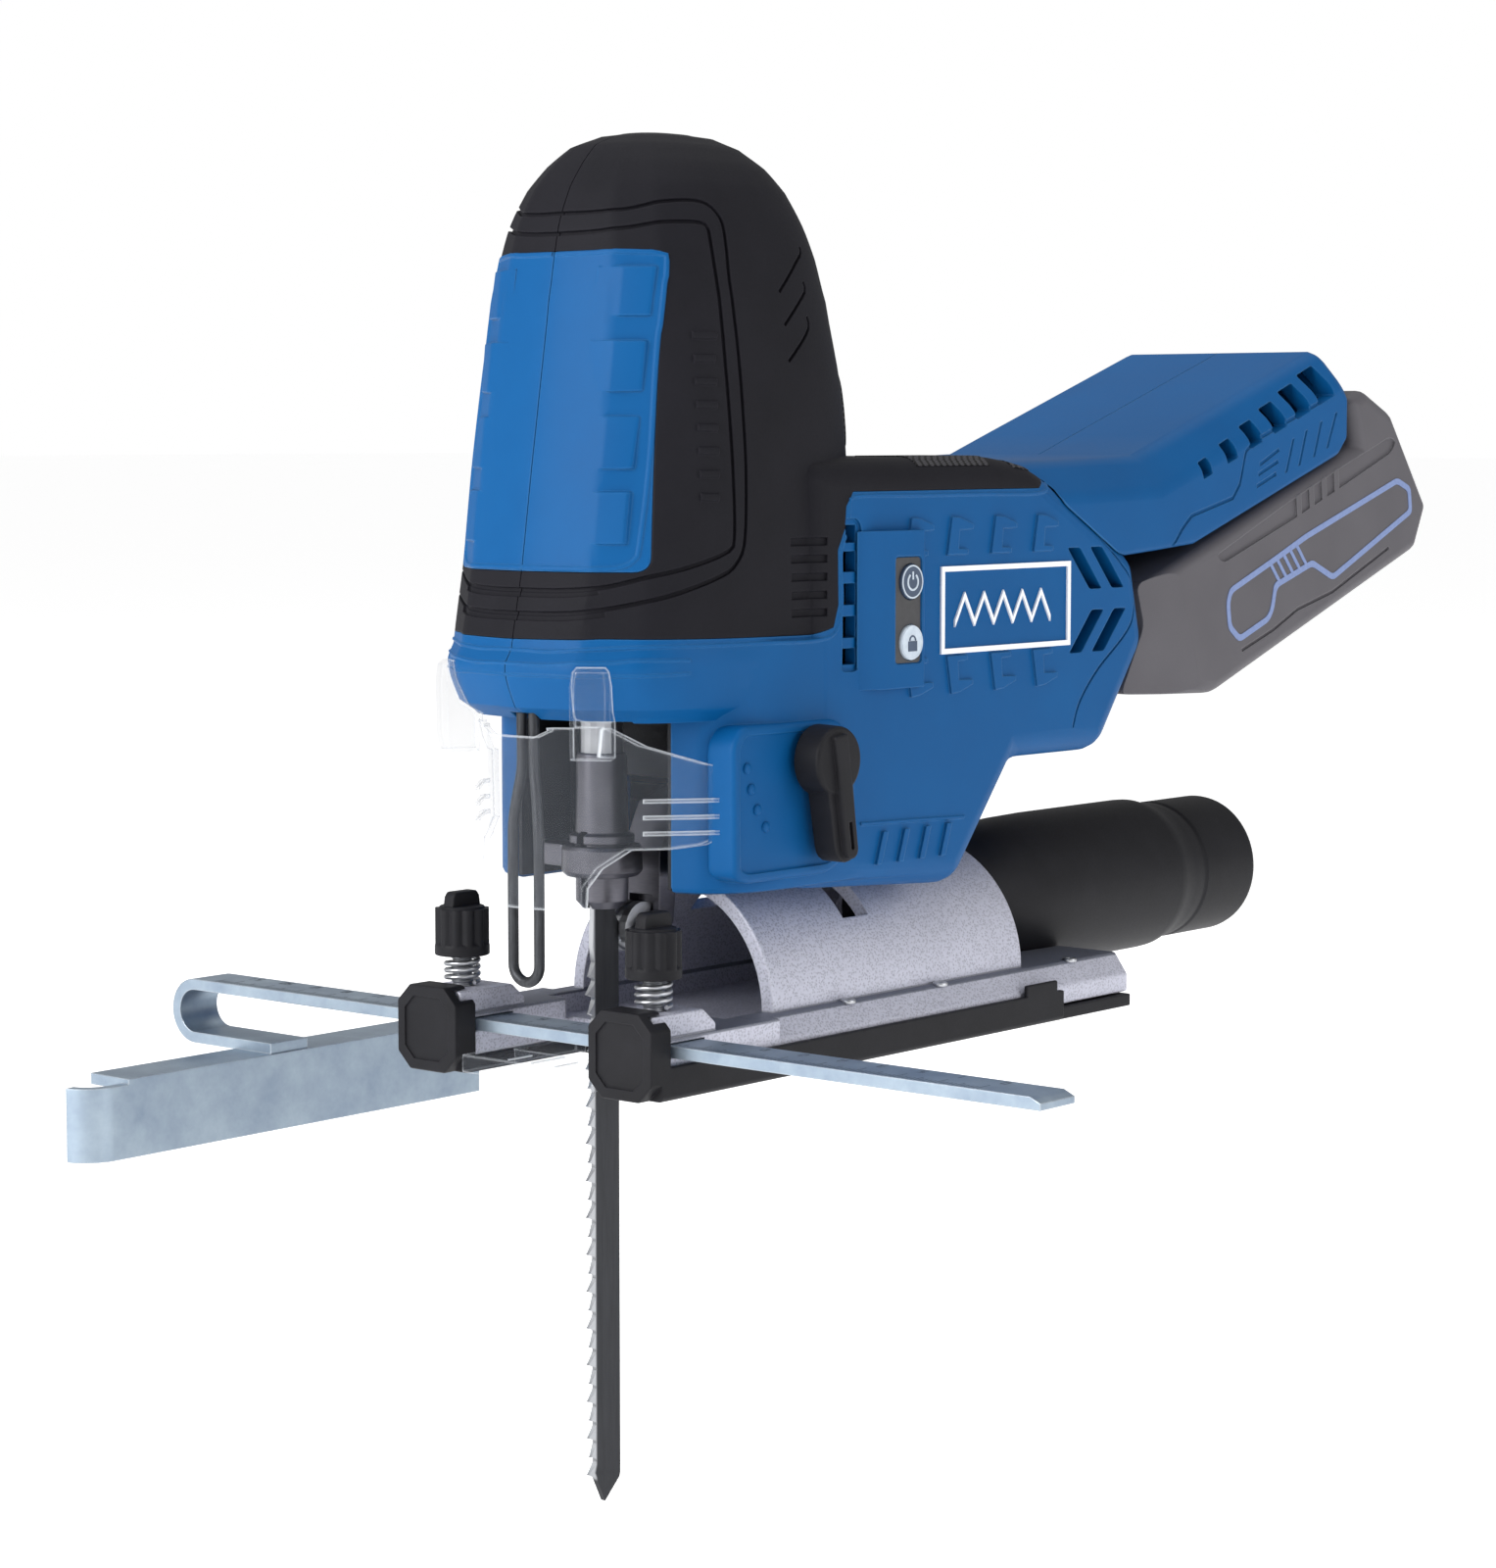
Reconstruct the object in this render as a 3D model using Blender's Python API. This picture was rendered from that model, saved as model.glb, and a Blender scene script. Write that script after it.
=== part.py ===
"""Cordless jigsaw: sole, housing, drive, blade, fence, dust port and battery pack.

Lengths are laid out in millimetres from the blade line (y = 0) and the underside of the
glide shoe (z = 0), then placed in metres about the middle of the sole.
x runs to the tool's left, y to its back, z up.
"""
import math

import bmesh
import bpy
from mathutils import Vector

MM = 0.001
GAP = 0.3
SOLE_MID = 61.0

# sole, shoe and tilt dome
SHOE_HALF = 36.3
SHOE_WALL = 1.5
SHOE_THICK = 3.0
SHOE_BACK = 118.6
CAP_FRONT = -25.4
CAP_TOP = 18.3
PRONG_IN = 20.0
PRONG_TIP = -22.7
PRONG_TOP = 17.3
PLATE_TOP = 12.5
PLATE_BACK = 147.0
TILT_Z = 12.3
DOME_R = 29.0
DOME_WALL = 3.2
DOME_FRONT = 22.0
DOME_BACK = 112.0
SLOT_Y = 57.0
PORT_Z = 24.4

# fence and its clamping knobs
ROD_FRONT = -18.2
ROD_BACK = -7.0
ROD_BOTTOM = 8.7
ROD_THICK = 2.5
ROD_LEFT = 127.4
ROD_RIGHT = -109.5
LEG_TOP = -1.0
FENCE_X = -86.0
KNOB_X = 27.4
KNOB_Y = -14.5
KNOB_R = 5.5

# housing
SIDE = 36.5
ROUND = 6.0
SKIN = 1.6
WALL = 3.6
CAVITY_HALF = 22.0
CAVITY_BACK = 14.0

# drive train
SHAFT_Z = 96.0
GEAR_TEETH = 48
PINION_TEETH = 8
MODULE = 1.0
GEAR_Z = SHAFT_Z + MODULE * (GEAR_TEETH + PINION_TEETH) / 2 + GAP
CRANK = 13.0
REST_DROP = 11.5
PLUNGER_R = 4.5

# blade
BLADE_TIP = -93.8
BLADE_FRONT = -5.0
BLADE_BACK = 4.5
BLADE_HALF = 0.6
PITCH = 4.0

# battery line: s runs along the slide, t square to it
TILT_DEG = 19.0
BAT_BOTTOM = 9.0
BAT_TOP = 44.6
BAT_SPLIT = 27.0
MOUNT_BACK = 276.0

for item in list(bpy.data.objects):
    bpy.data.objects.remove(item, do_unlink=True)

PARTS = bpy.data.collections.new("jigsaw")
CUTTERS = bpy.data.collections.new("jigsaw_cutters")
bpy.context.scene.collection.children.link(PARTS)
bpy.context.scene.collection.children.link(CUTTERS)


# ---------------------------------------------------------------- building blocks

def pt(x, y, z):
    """A point given in millimetres from the blade line, in metres about the sole."""
    return Vector((x, y - SOLE_MID, z)) * MM


def st(s, t):
    """Battery-line coordinates turned into (y, z)."""
    turn = math.radians(TILT_DEG)
    return (s * math.cos(turn) - t * math.sin(turn), s * math.sin(turn) + t * math.cos(turn))


def solid(name, points, faces):
    mesh = bpy.data.meshes.new(name)
    bm = bmesh.new()
    verts = [bm.verts.new(pt(*p)) for p in points]
    for face in faces:
        bm.faces.new([verts[i] for i in face])
    bmesh.ops.recalc_face_normals(bm, faces=bm.faces)
    bm.to_mesh(mesh)
    bm.free()
    obj = bpy.data.objects.new(name, mesh)
    CUTTERS.objects.link(obj)
    return obj


def loft(name, rings):
    """Closed body through rings that all have the same number of points."""
    count = len(rings[0])
    points = [p for ring in rings for p in ring]
    faces = [list(range(count)), list(range(len(points) - count, len(points)))]
    for k in range(len(rings) - 1):
        low = k * count
        high = low + count
        for i in range(count):
            j = (i + 1) % count
            faces.append((low + i, low + j, high + j, high + i))
    return solid(name, points, faces)


def along(axis, a, b, c):
    """(a, b) lie across the axis and c along it."""
    if axis == "x":
        return (c, a, b)
    if axis == "y":
        return (a, c, b)
    return (a, b, c)


def prism(name, outline, axis, lo, hi):
    return loft(name, [[along(axis, a, b, c) for a, b in outline] for c in (lo, hi)])


def block(name, x, y, z):
    return prism(name, ((x[0], y[0]), (x[1], y[0]), (x[1], y[1]), (x[0], y[1])), "z", z[0], z[1])


def circle(a, b, radius, count, start=0.0, sweep=360.0):
    steps = count if abs(sweep) >= 360 else count + 1
    out = []
    for k in range(steps):
        turn = math.radians(start + sweep * k / count)
        out.append((a + radius * math.cos(turn), b + radius * math.sin(turn)))
    return out


def rod(name, centre, radius, lo, hi, axis, count=20):
    return prism(name, circle(centre[0], centre[1], radius, count), axis, lo, hi)


def stack(name, centre, steps, axis, count=20):
    """Solid of revolution from (distance along the axis, radius) steps."""
    rings = []
    for c, radius in steps:
        rings.append([along(axis, a, b, c) for a, b in circle(centre[0], centre[1], radius, count)])
    return loft(name, rings)


def ring_body(name, centre, profile, axis, count=20):
    """Hollow body of revolution from a closed profile of (distance, radius)."""
    points = []
    for k in range(count):
        turn = 2 * math.pi * k / count
        for c, radius in profile:
            points.append(along(axis, centre[0] + radius * math.cos(turn),
                                centre[1] + radius * math.sin(turn), c))
    size = len(profile)
    faces = []
    for k in range(count):
        for i in range(size):
            j = (i + 1) % size
            n = (k + 1) % count
            faces.append((k * size + i, k * size + j, n * size + j, n * size + i))
    return solid(name, points, faces)


def washer(name, centre, outer, inner, lo, hi, axis, count=20):
    profile = ((lo, inner), (lo, outer), (hi, outer), (hi, inner))
    return ring_body(name, centre, profile, axis, count)


def inset(outline, distance):
    """Outline moved inward by a distance, corner by corner."""
    size = len(outline)
    area = sum(outline[i - 1][0] * outline[i][1] - outline[i][0] * outline[i - 1][1]
               for i in range(size))
    sign = 1.0 if area > 0 else -1.0
    out = []
    for i in range(size):
        before = Vector(outline[i]) - Vector(outline[i - 1])
        after = Vector(outline[(i + 1) % size]) - Vector(outline[i])
        n1 = Vector((-before.y, before.x)).normalized() * sign
        n2 = Vector((-after.y, after.x)).normalized() * sign
        mitre = (n1 + n2) / (1.0 + n1.dot(n2))
        out.append(tuple(Vector(outline[i]) + mitre * distance))
    return out


def rounded(name, outline, half, radius, axis="x", steps=3):
    """Prism about the middle plane whose rims are rounded over by a radius."""
    rings = []
    for k in range(steps + 1):
        turn = math.pi / 2 * k / steps
        ring = inset(outline, radius * (1 - math.sin(turn)))
        place = half - radius * (1 - math.cos(turn))
        rings.append((place, ring))
    layers = [(-c, r) for c, r in rings] + [(c, r) for c, r in reversed(rings)]
    return loft(name, [[along(axis, a, b, c) for a, b in ring] for c, ring in layers])


def bake(obj):
    """Freeze the modifiers of an object into its mesh."""
    graph = bpy.context.evaluated_depsgraph_get()
    graph.update()
    mesh = bpy.data.meshes.new_from_object(obj.evaluated_get(graph))
    obj.modifiers.clear()
    obj.data = mesh
    bm = bmesh.new()
    bm.from_mesh(mesh)
    bmesh.ops.remove_doubles(bm, verts=bm.verts, dist=0.00001)
    bmesh.ops.dissolve_degenerate(bm, edges=bm.edges, dist=0.000005)
    bm.to_mesh(mesh)
    bm.free()
    return obj


def combine(obj, kind, *tools):
    for tool in tools:
        mod = obj.modifiers.new("cut", "BOOLEAN")
        mod.operation = kind
        mod.solver = "EXACT"
        mod.object = tool
        bake(obj)
        bpy.data.objects.remove(tool, do_unlink=True)
    return obj


def cut(obj, *tools):
    return combine(obj, "DIFFERENCE", *tools)


def join(obj, *tools):
    return combine(obj, "UNION", *tools)


def keep(obj, *tools):
    return combine(obj, "INTERSECT", *tools)


def copy_of(obj, name):
    other = obj.copy()
    other.data = obj.data.copy()
    other.name = name
    CUTTERS.objects.link(other)
    return other


def wire(name, path, radius, resolution=1, closed=False):
    curve = bpy.data.curves.new(name, "CURVE")
    curve.dimensions = "3D"
    curve.bevel_depth = radius * MM
    curve.bevel_resolution = resolution
    curve.use_fill_caps = True
    spline = curve.splines.new("POLY")
    spline.points.add(len(path) - 1)
    for point, place in zip(spline.points, path):
        point.co = (*pt(*place), 1.0)
    spline.use_cyclic_u = closed
    obj = bpy.data.objects.new(name, curve)
    CUTTERS.objects.link(obj)
    graph = bpy.context.evaluated_depsgraph_get()
    mesh = bpy.data.meshes.new_from_object(obj.evaluated_get(graph))
    bpy.data.objects.remove(obj, do_unlink=True)
    bm = bmesh.new()
    bm.from_mesh(mesh)
    bmesh.ops.remove_doubles(bm, verts=bm.verts, dist=0.00001)
    bmesh.ops.recalc_face_normals(bm, faces=bm.faces)
    bm.to_mesh(mesh)
    bm.free()
    out = bpy.data.objects.new(name, mesh)
    CUTTERS.objects.link(out)
    return out


COATS = {
    "blue_plastic": ((0.014, 0.110, 0.300), 0.45, 0.0),
    "soft_black": ((0.028, 0.028, 0.033), 0.75, 0.0),
    "black_plastic": ((0.020, 0.020, 0.022), 0.5, 0.0),
    "cast_silver": ((0.42, 0.42, 0.45), 0.45, 0.8),
    "zinc_steel": ((0.60, 0.63, 0.65), 0.32, 1.0),
    "bright_steel": ((0.55, 0.53, 0.50), 0.3, 1.0),
    "blade_steel": ((0.05, 0.05, 0.055), 0.4, 0.9),
    "gear_steel": ((0.35, 0.34, 0.33), 0.35, 1.0),
    "clear_plastic": ((0.85, 0.90, 0.93), 0.1, 0.0),
    "pack_grey": ((0.20, 0.20, 0.215), 0.55, 0.0),
    "copper": ((0.72, 0.35, 0.16), 0.35, 1.0),
    "board_green": ((0.02, 0.16, 0.07), 0.5, 0.0),
    "bronze": ((0.48, 0.33, 0.14), 0.4, 1.0),
    "cell_green": ((0.05, 0.30, 0.22), 0.4, 0.0),
    "white_print": ((0.80, 0.80, 0.80), 0.5, 0.0),
}


def finish(obj, coat, origin=None):
    """Give a node its material, its place in the parts collection and its origin."""
    if obj.users_collection and obj.users_collection[0] is CUTTERS:
        CUTTERS.objects.unlink(obj)
    PARTS.objects.link(obj)
    colour, rough, metal = COATS[coat]
    mat = bpy.data.materials.new(obj.name + "_" + coat)
    mat.use_nodes = True
    shader = mat.node_tree.nodes["Principled BSDF"]
    shader.inputs["Base Color"].default_value = (*colour, 1.0)
    shader.inputs["Roughness"].default_value = rough
    shader.inputs["Metallic"].default_value = metal
    obj.data.materials.clear()
    obj.data.materials.append(mat)
    if origin is not None:
        spot = pt(*origin)
        for vert in obj.data.vertices:
            vert.co -= spot
        obj.location = spot
    return obj


# ---------------------------------------------------------------- sole group

def sole_plate():
    """Cast sole: flat plate, two prongs that carry the fence, and the hollow tilt dome."""
    low = SHOE_THICK + GAP
    edge = SHOE_HALF - SHOE_WALL - GAP
    section = ((-edge, low), (edge, low), (edge, 7.6), (31.0, PLATE_TOP), (-31.0, PLATE_TOP),
               (-edge, 7.6))
    body = prism("sole_plate", section, "y", 12.4, PLATE_BACK)
    for side in (1, -1):
        lo, hi = sorted((side * PRONG_IN, side * (edge - 0.1)))
        join(body, block("prong", (lo, hi), (PRONG_TIP, 18.0), (low + 0.05, PLATE_TOP - 0.1)))
        lo, hi = sorted((side * (PRONG_IN + 0.6), side * (edge - 0.8)))
        pad = ((PRONG_TIP + 0.5, 8.0), (-2.0, 8.0), (-2.0, 14.0), (-6.0, PRONG_TOP),
               (PRONG_TIP + 0.5, PRONG_TOP))
        join(body, prism("pad", pad, "x", lo, hi))
    dome = prism("dome", circle(0.0, TILT_Z, DOME_R, 28, -8, 196), "y", DOME_FRONT, DOME_BACK)
    join(body, dome)
    bore = circle(0.0, TILT_Z, DOME_R - DOME_WALL, 24, -10, 200)
    cut(body, prism("bore", bore, "y", DOME_FRONT - 12, DOME_BACK - 3.5))
    arc = circle(0.0, TILT_Z, DOME_R + 4, 12, 36, 108)
    arc += circle(0.0, TILT_Z, 12.0, 6, 144, -108)
    cut(body, prism("slot", arc, "y", SLOT_Y - 4.5, SLOT_Y + 4.5))
    cut(body, block("rod_way", (-40, 40), (ROD_FRONT - 0.4, ROD_BACK + 0.4),
                    (ROD_BOTTOM - GAP, ROD_BOTTOM + ROD_THICK + GAP)))
    for side in (1, -1):
        cut(body, rod("hole", (side * KNOB_X, KNOB_Y), 2.7, 10.0, 20.0, "z", 14))
    steps = ((100.0, 14.2), (119.0, 14.4), (123.0, 16.4), (130.0, 18.2), (155.5, 19.4),
             (160.0, 19.4))
    cut(body, stack("pipe_way", (0.0, PORT_Z), steps, "y", 24))
    return finish(body, "cast_silver")


def cap_outline(inner, outer, shrink=0.0):
    low = 0.0 + shrink
    top = CAP_TOP - shrink
    a = inner + shrink
    b = outer - shrink
    c = 3.6 - 0.4 * shrink
    return ((a + c, low), (b - c, low), (b, low + c), (b, top - c), (b - c, top), (a + c, top),
            (a, top - c), (a, low + c))


def glide_shoe():
    """Black plastic shoe clipped over the sole, with a cap over each prong."""
    section = ((-SHOE_HALF, 0.8), (-SHOE_HALF + 0.8, 0.0), (SHOE_HALF - 0.8, 0.0),
               (SHOE_HALF, 0.8), (SHOE_HALF, 7.0), (SHOE_HALF - SHOE_WALL, 7.0),
               (SHOE_HALF - SHOE_WALL, SHOE_THICK), (-SHOE_HALF + SHOE_WALL, SHOE_THICK),
               (-SHOE_HALF + SHOE_WALL, 7.0), (-SHOE_HALF, 7.0))
    body = prism("glide_shoe", section, "y", -22.0, SHOE_BACK)
    cut(body, block("blade_gap", (-PRONG_IN + 0.7, PRONG_IN - 0.7), (-40, 14.0), (-5, 20)))
    for side in (1, -1):
        outline = [(side * x, z) for x, z in cap_outline(18.9, SHOE_HALF)]
        cap = prism("cap", outline, "y", CAP_FRONT, -19.0)
        lo, hi = sorted((side * (PRONG_IN - GAP), side * (SHOE_HALF - SHOE_WALL)))
        cut(cap, block("prong_way", (lo, hi), (PRONG_TIP - GAP, -10.0),
                       (SHOE_THICK, PRONG_TOP + GAP)))
        join(body, cap)
    rim = ((-SHOE_HALF + 0.6, 0.1), (SHOE_HALF - 0.6, 0.1), (SHOE_HALF - 0.6, SHOE_THICK - 0.05),
           (-SHOE_HALF + 0.6, SHOE_THICK - 0.05))
    join(body, prism("rear_rim", rim, "y", SHOE_BACK - 2.0, PLATE_BACK - 0.5))
    return finish(body, "black_plastic")


def sight_insert():
    """Clear insert clipped between the prongs, open around the blade."""
    half = PRONG_IN - 1.1
    outline = ((-half, -23.6), (half, -23.6), (half, 12.0), (half - 3.2, 12.0),
               (half - 3.2, -11.0), (-half + 3.2, -11.0), (-half + 3.2, 12.0), (-half, 12.0))
    return finish(prism("sight_insert", outline, "z", 0.4, 4.4), "clear_plastic")


def fence():
    """Steel strip bent back under itself, with the guide plate welded below."""
    mid = (ROD_BOTTOM + LEG_TOP) / 2
    inner = (ROD_BOTTOM - LEG_TOP) / 2
    outer = inner + ROD_THICK
    path = [(ROD_LEFT - 2.5, ROD_BOTTOM + ROD_THICK), (ROD_RIGHT, ROD_BOTTOM + ROD_THICK)]
    path += circle(ROD_RIGHT, mid, outer, 10, 90, 180)[1:]
    path += [(-84.0, mid - outer), (-84.0, mid - inner)]
    path += circle(ROD_RIGHT, mid, inner, 8, 270, -180)
    path += [(ROD_LEFT, ROD_BOTTOM), (ROD_LEFT, ROD_BOTTOM + 1.4)]
    body = prism("fence", path, "y", ROD_FRONT, ROD_BACK)
    top = mid - outer + 0.1
    plate = [(FENCE_X, 48.0), (FENCE_X + 2.5, 48.0), (FENCE_X + 2.5, -64.0)]
    plate += circle(FENCE_X - 5.5, -64.0, 8.0, 6, 0, -80)
    plate += circle(FENCE_X - 5.5, -64.0, 5.5, 6, -80, 80)
    join(body, prism("plate", plate, "z", -20.7, top - 1.2))
    join(body, block("flange", (FENCE_X - 10.0, FENCE_X + 2.5), (-60.0, 48.0), (top - 2.5, top)))
    return finish(body, "zinc_steel", (0.0, ROD_FRONT, ROD_BOTTOM))


def knob_set(side, word):
    """Wing knob, its stud and the spring that stops it rattling loose."""
    x = side * KNOB_X
    centre = (x, KNOB_Y)
    lobes = []
    for k in range(12):
        turn = math.radians(30 * k)
        reach = KNOB_R if k % 2 else KNOB_R - 0.9
        lobes.append((x + reach * math.cos(turn), KNOB_Y + reach * math.sin(turn)))
    knob = prism("knob_" + word, lobes, "z", 25.2, 34.4)
    join(knob, stack("skirt", centre, ((24.0, 5.5), (26.2, 5.2)), "z", 18))
    wing = ((KNOB_Y - 4.2, 34.0), (KNOB_Y + 4.2, 34.0), (KNOB_Y + 3.4, 37.7), (KNOB_Y - 3.4, 37.7))
    join(knob, prism("wing", wing, "x", x - 1.5, x + 1.5))
    cut(knob, rod("bore", centre, 2.7, 20.0, 32.0, "z", 14))
    finish(knob, "black_plastic", (x, KNOB_Y, 24.0))
    stud = rod("stud_" + word, centre, 2.4, ROD_BOTTOM + ROD_THICK + 0.4, 31.6, "z", 14)
    finish(stud, "bright_steel", (x, KNOB_Y, 24.0))
    turns = 3.0
    path = []
    for k in range(int(turns * 10) + 1):
        turn = 2 * math.pi * k / 10
        path.append((x + 3.5 * math.cos(turn), KNOB_Y + 3.5 * math.sin(turn),
                     PRONG_TOP + 0.9 + 5.2 * k / (turns * 10)))
    finish(wire("knob_spring_" + word, path, 0.5), "bright_steel")


def dust_port():
    """Plastic pipe pushed into the back of the dome."""
    outer = ((98.0, 13.2), (119.0, 13.8), (123.0, 15.8), (130.0, 17.6), (155.0, 18.8),
             (194.0, 18.8), (203.0, 17.4), (230.0, 17.4))
    profile = list(outer) + [(y, r - 2.2) for y, r in reversed(outer)]
    return finish(ring_body("dust_port", (0.0, PORT_Z), profile, "y", 28), "black_plastic",
                  (0.0, 98.0, PORT_Z))


# ---------------------------------------------------------------- housing

COLUMN = ((76, -22.0, 60.0, 32.0), (79, -26.5, 61.0, 34.0), (87, -29.5, 62.0, 35.2),
          (91, -27.5, 62.0, 35.2), (107, -24.3, 61.0, 34.9), (127, -21.3, 59.5, 34.3),
          (145, -18.4, 57.5, 33.3), (163, -15.6, 53.5, 31.3), (172, -13.9, 51.0, 29.5),
          (179, -12.2, 48.5, 27.2), (186, -9.0, 45.0, 23.8), (191, -5.2, 41.0, 19.8),
          (195, -1.0, 36.0, 14.8), (197.2, 5.0, 31.0, 9.8), (198, 10.0, 26.0, 5.5))
BODY = ((25.0, 38.9), (78.5, 35.4), (100.0, 61.8), (134.0, 61.6), (152.0, 86.0),
        (147.0, 106.5), (108.0, 127.5), (94.0, 130.0), (25.0, 130.0))
BODY_IN = ((17.5, 46.0), (81.5, 46.0), (98.0, 65.4), (132.2, 65.2), (148.0, 87.0),
           (143.6, 104.2), (107.0, 123.8), (93.6, 126.4), (17.5, 126.4))


def oval(z, front, rear, half, power=2.6, count=24):
    out = []
    for k in range(count):
        turn = 2 * math.pi * (k + 0.5) / count
        c = math.cos(turn)
        s = math.sin(turn)
        x = half * math.copysign(abs(c) ** (2 / power), c)
        y = (front + rear) / 2 + (rear - front) / 2 * math.copysign(abs(s) ** (2 / power), s)
        out.append((x, y, z))
    return out


def column(depth, name="column"):
    """The upright grip, moved inward by a depth."""
    low = COLUMN[0][0]
    tall = COLUMN[-1][0] - low
    rings = []
    for z, front, rear, half in COLUMN:
        height = low + depth + (z - low) * (tall - 2 * depth) / tall
        trim = min(depth, half * 0.7)
        rings.append(oval(height, front + trim, rear - trim, half - trim))
    return loft(name, rings)


def barrel(depth, name="barrel"):
    return rounded(name, inset(BODY, depth), SIDE - depth, ROUND - depth * 0.5)


def nose():
    """The lower front of the housing, rounded in plan."""
    rings = []
    for z, trim in ((39.8, 1.4), (41.2, 0.0), (92.0, 0.0)):
        rings.append(oval(z, -5.0 + trim, 64.0, 36.3 - trim, 3.7))
    return loft("nose", rings)


def grip_zone(grow):
    """Side view of the soft grip: column above the chin and a strip along the back."""
    low = 93.0 - grow
    outline = ((-60.0, low - 2.2), (-22.0, low + 0.6), (33.6 + grow, low), (37.0 + grow, 101.5),
               (38.0 + grow, 122.9 - grow), (110.0, 122.9 - grow), (114.6 + grow, 126.5),
               (115.6 + grow, 150.0), (70.0, 215.0), (-60.0, 215.0))
    return prism("grip_zone", outline, "x", -60.0, 60.0)


def window_zone(grow):
    """Front view of the two blue window panels."""
    outline = ((-25.4 - grow, 107.0 - grow), (25.4 + grow, 107.0 - grow),
               (23.4 + grow, 172.3 + grow), (-23.4 - grow, 172.3 + grow))
    return prism("window_zone", outline, "y", -60.0, 8.0)


def half_space(side):
    lo, hi = sorted((side * GAP / 2, side * 80.0))
    return block("half", (lo, hi), (-90.0, 330.0), (-110.0, 230.0))


def skin(zone):
    """The outer layer of the housing inside a zone."""
    cut(zone, column(SKIN), barrel(SKIN))
    outer = column(0.0)
    join(outer, barrel(0.0))
    return keep(zone, outer)


def housing():
    """Two clamshell halves, cut for the saddle, the blade bay, the vents and the drive."""
    body = column(0.0, "housing")
    join(body, barrel(0.0), nose())
    layer = grip_zone(GAP)
    cut(layer, column(SKIN + GAP), barrel(SKIN + GAP))
    cut(body, layer)
    cut(body, block("bay", (-CAVITY_HALF, CAVITY_HALF), (-40.0, CAVITY_BACK), (30.0, 76.4)))
    cut(body, column(WALL))
    cut(body, rounded("hollow", BODY_IN, SIDE - WALL, 4.0))
    cut(body, rod("saddle", (0.0, TILT_Z), DOME_R + GAP, 5.0, 120.0, "y", 48))
    cut(body, block("arm_way", (-7.5, 7.5), (10.0, 30.0), (34.0, 62.0)))
    cut(body, rod("clamp_way", (0.0, 0.0), 7.2, 70.0, 90.0, "z", 20))
    cut(body, block("guard_way", (-3.4, 3.4), (-24.4, -20.8), (70.0, 86.0)))
    for k in range(5):
        z = 84.5 + 5.6 * k
        for side in (1, -1):
            lo, hi = sorted((side * 25.0, side * 45.0))
            cut(body, block("inlet", (lo, hi), (40.0, 48.0) if side < 0 else (39.4, 40.9),
                            (z, z + 3.0)))
    for row in (0, 1):
        for k in (0, 1):
            y = 124.5 + 8.0 * k
            z = 99.0 - 17.0 * row
            lean = 6.5 if row == 0 else -6.5
            base = ((y, z), (y + 4.2, z), (y + 4.2 - lean, z + 9.5), (y - lean, z + 9.5))
            if row:
                base = ((y + lean, z), (y + 4.2 + lean, z), (y + 4.2, z + 9.5), (y, z + 9.5))
            cut(body, prism("chevron", base, "x", -45.0, 45.0))
    cut(body, rod("bolt_way", (0.0, SLOT_Y), 3.3, 38.0, 50.0, "z", 16))
    left = keep(copy_of(body, "housing_left"), half_space(1))
    right = keep(body, half_space(-1))
    right.name = "housing_right"
    pad = rounded_box("pad", (2.0, 40.0), (43.0, 73.0), 5.0, 30.0, 37.9)
    cut(pad, rounded("hollow", BODY_IN, SIDE - WALL, 4.0))
    join(left, pad)
    cut(left, rod("selector_way", (24.4, 67.0), 3.5, 20.0, 45.0, "x", 20))
    finish(left, "blue_plastic", (0.0, 61.0, TILT_Z))
    finish(right, "blue_plastic", (0.0, 61.0, TILT_Z))


def rounded_box(name, y, z, radius, lo, hi):
    """Plate facing x with rounded corners."""
    outline = []
    for cy, cz, start in ((y[1] - radius, z[1] - radius, 0), (y[0] + radius, z[1] - radius, 90),
                          (y[0] + radius, z[0] + radius, 180), (y[1] - radius, z[0] + radius, 270)):
        outline += circle(cy, cz, radius, 3, start, 90)
    return prism(name, outline, "x", lo, hi)


def grips():
    """Soft overmould over the column and the back strip."""
    layer = grip_zone(0.0)
    cut(layer, window_zone(GAP))
    layer = skin(layer)
    left = keep(copy_of(layer, "grip_left"), half_space(1))
    right = keep(layer, half_space(-1))
    right.name = "grip_right"
    finish(left, "soft_black", (0.0, 61.0, TILT_Z))
    finish(right, "soft_black", (0.0, 61.0, TILT_Z))


def panels():
    """Two window panels in the front of the grip."""
    layer = skin(window_zone(0.0))
    left = keep(copy_of(layer, "panel_left"), half_space(1))
    right = keep(layer, half_space(-1))
    right.name = "panel_right"
    finish(left, "blue_plastic", (0.0, 61.0, TILT_Z))
    finish(right, "blue_plastic", (0.0, 61.0, TILT_Z))


def foot_ring(y, low, top, trim=0.0):
    wide = 36.0 - trim
    high = 28.0 - trim * 0.6
    return [(-wide, y, low), (wide, y, low), (wide, y, top - 9.0), (high, y, top),
            (-high, y, top), (-wide, y, top - 9.0)]


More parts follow.
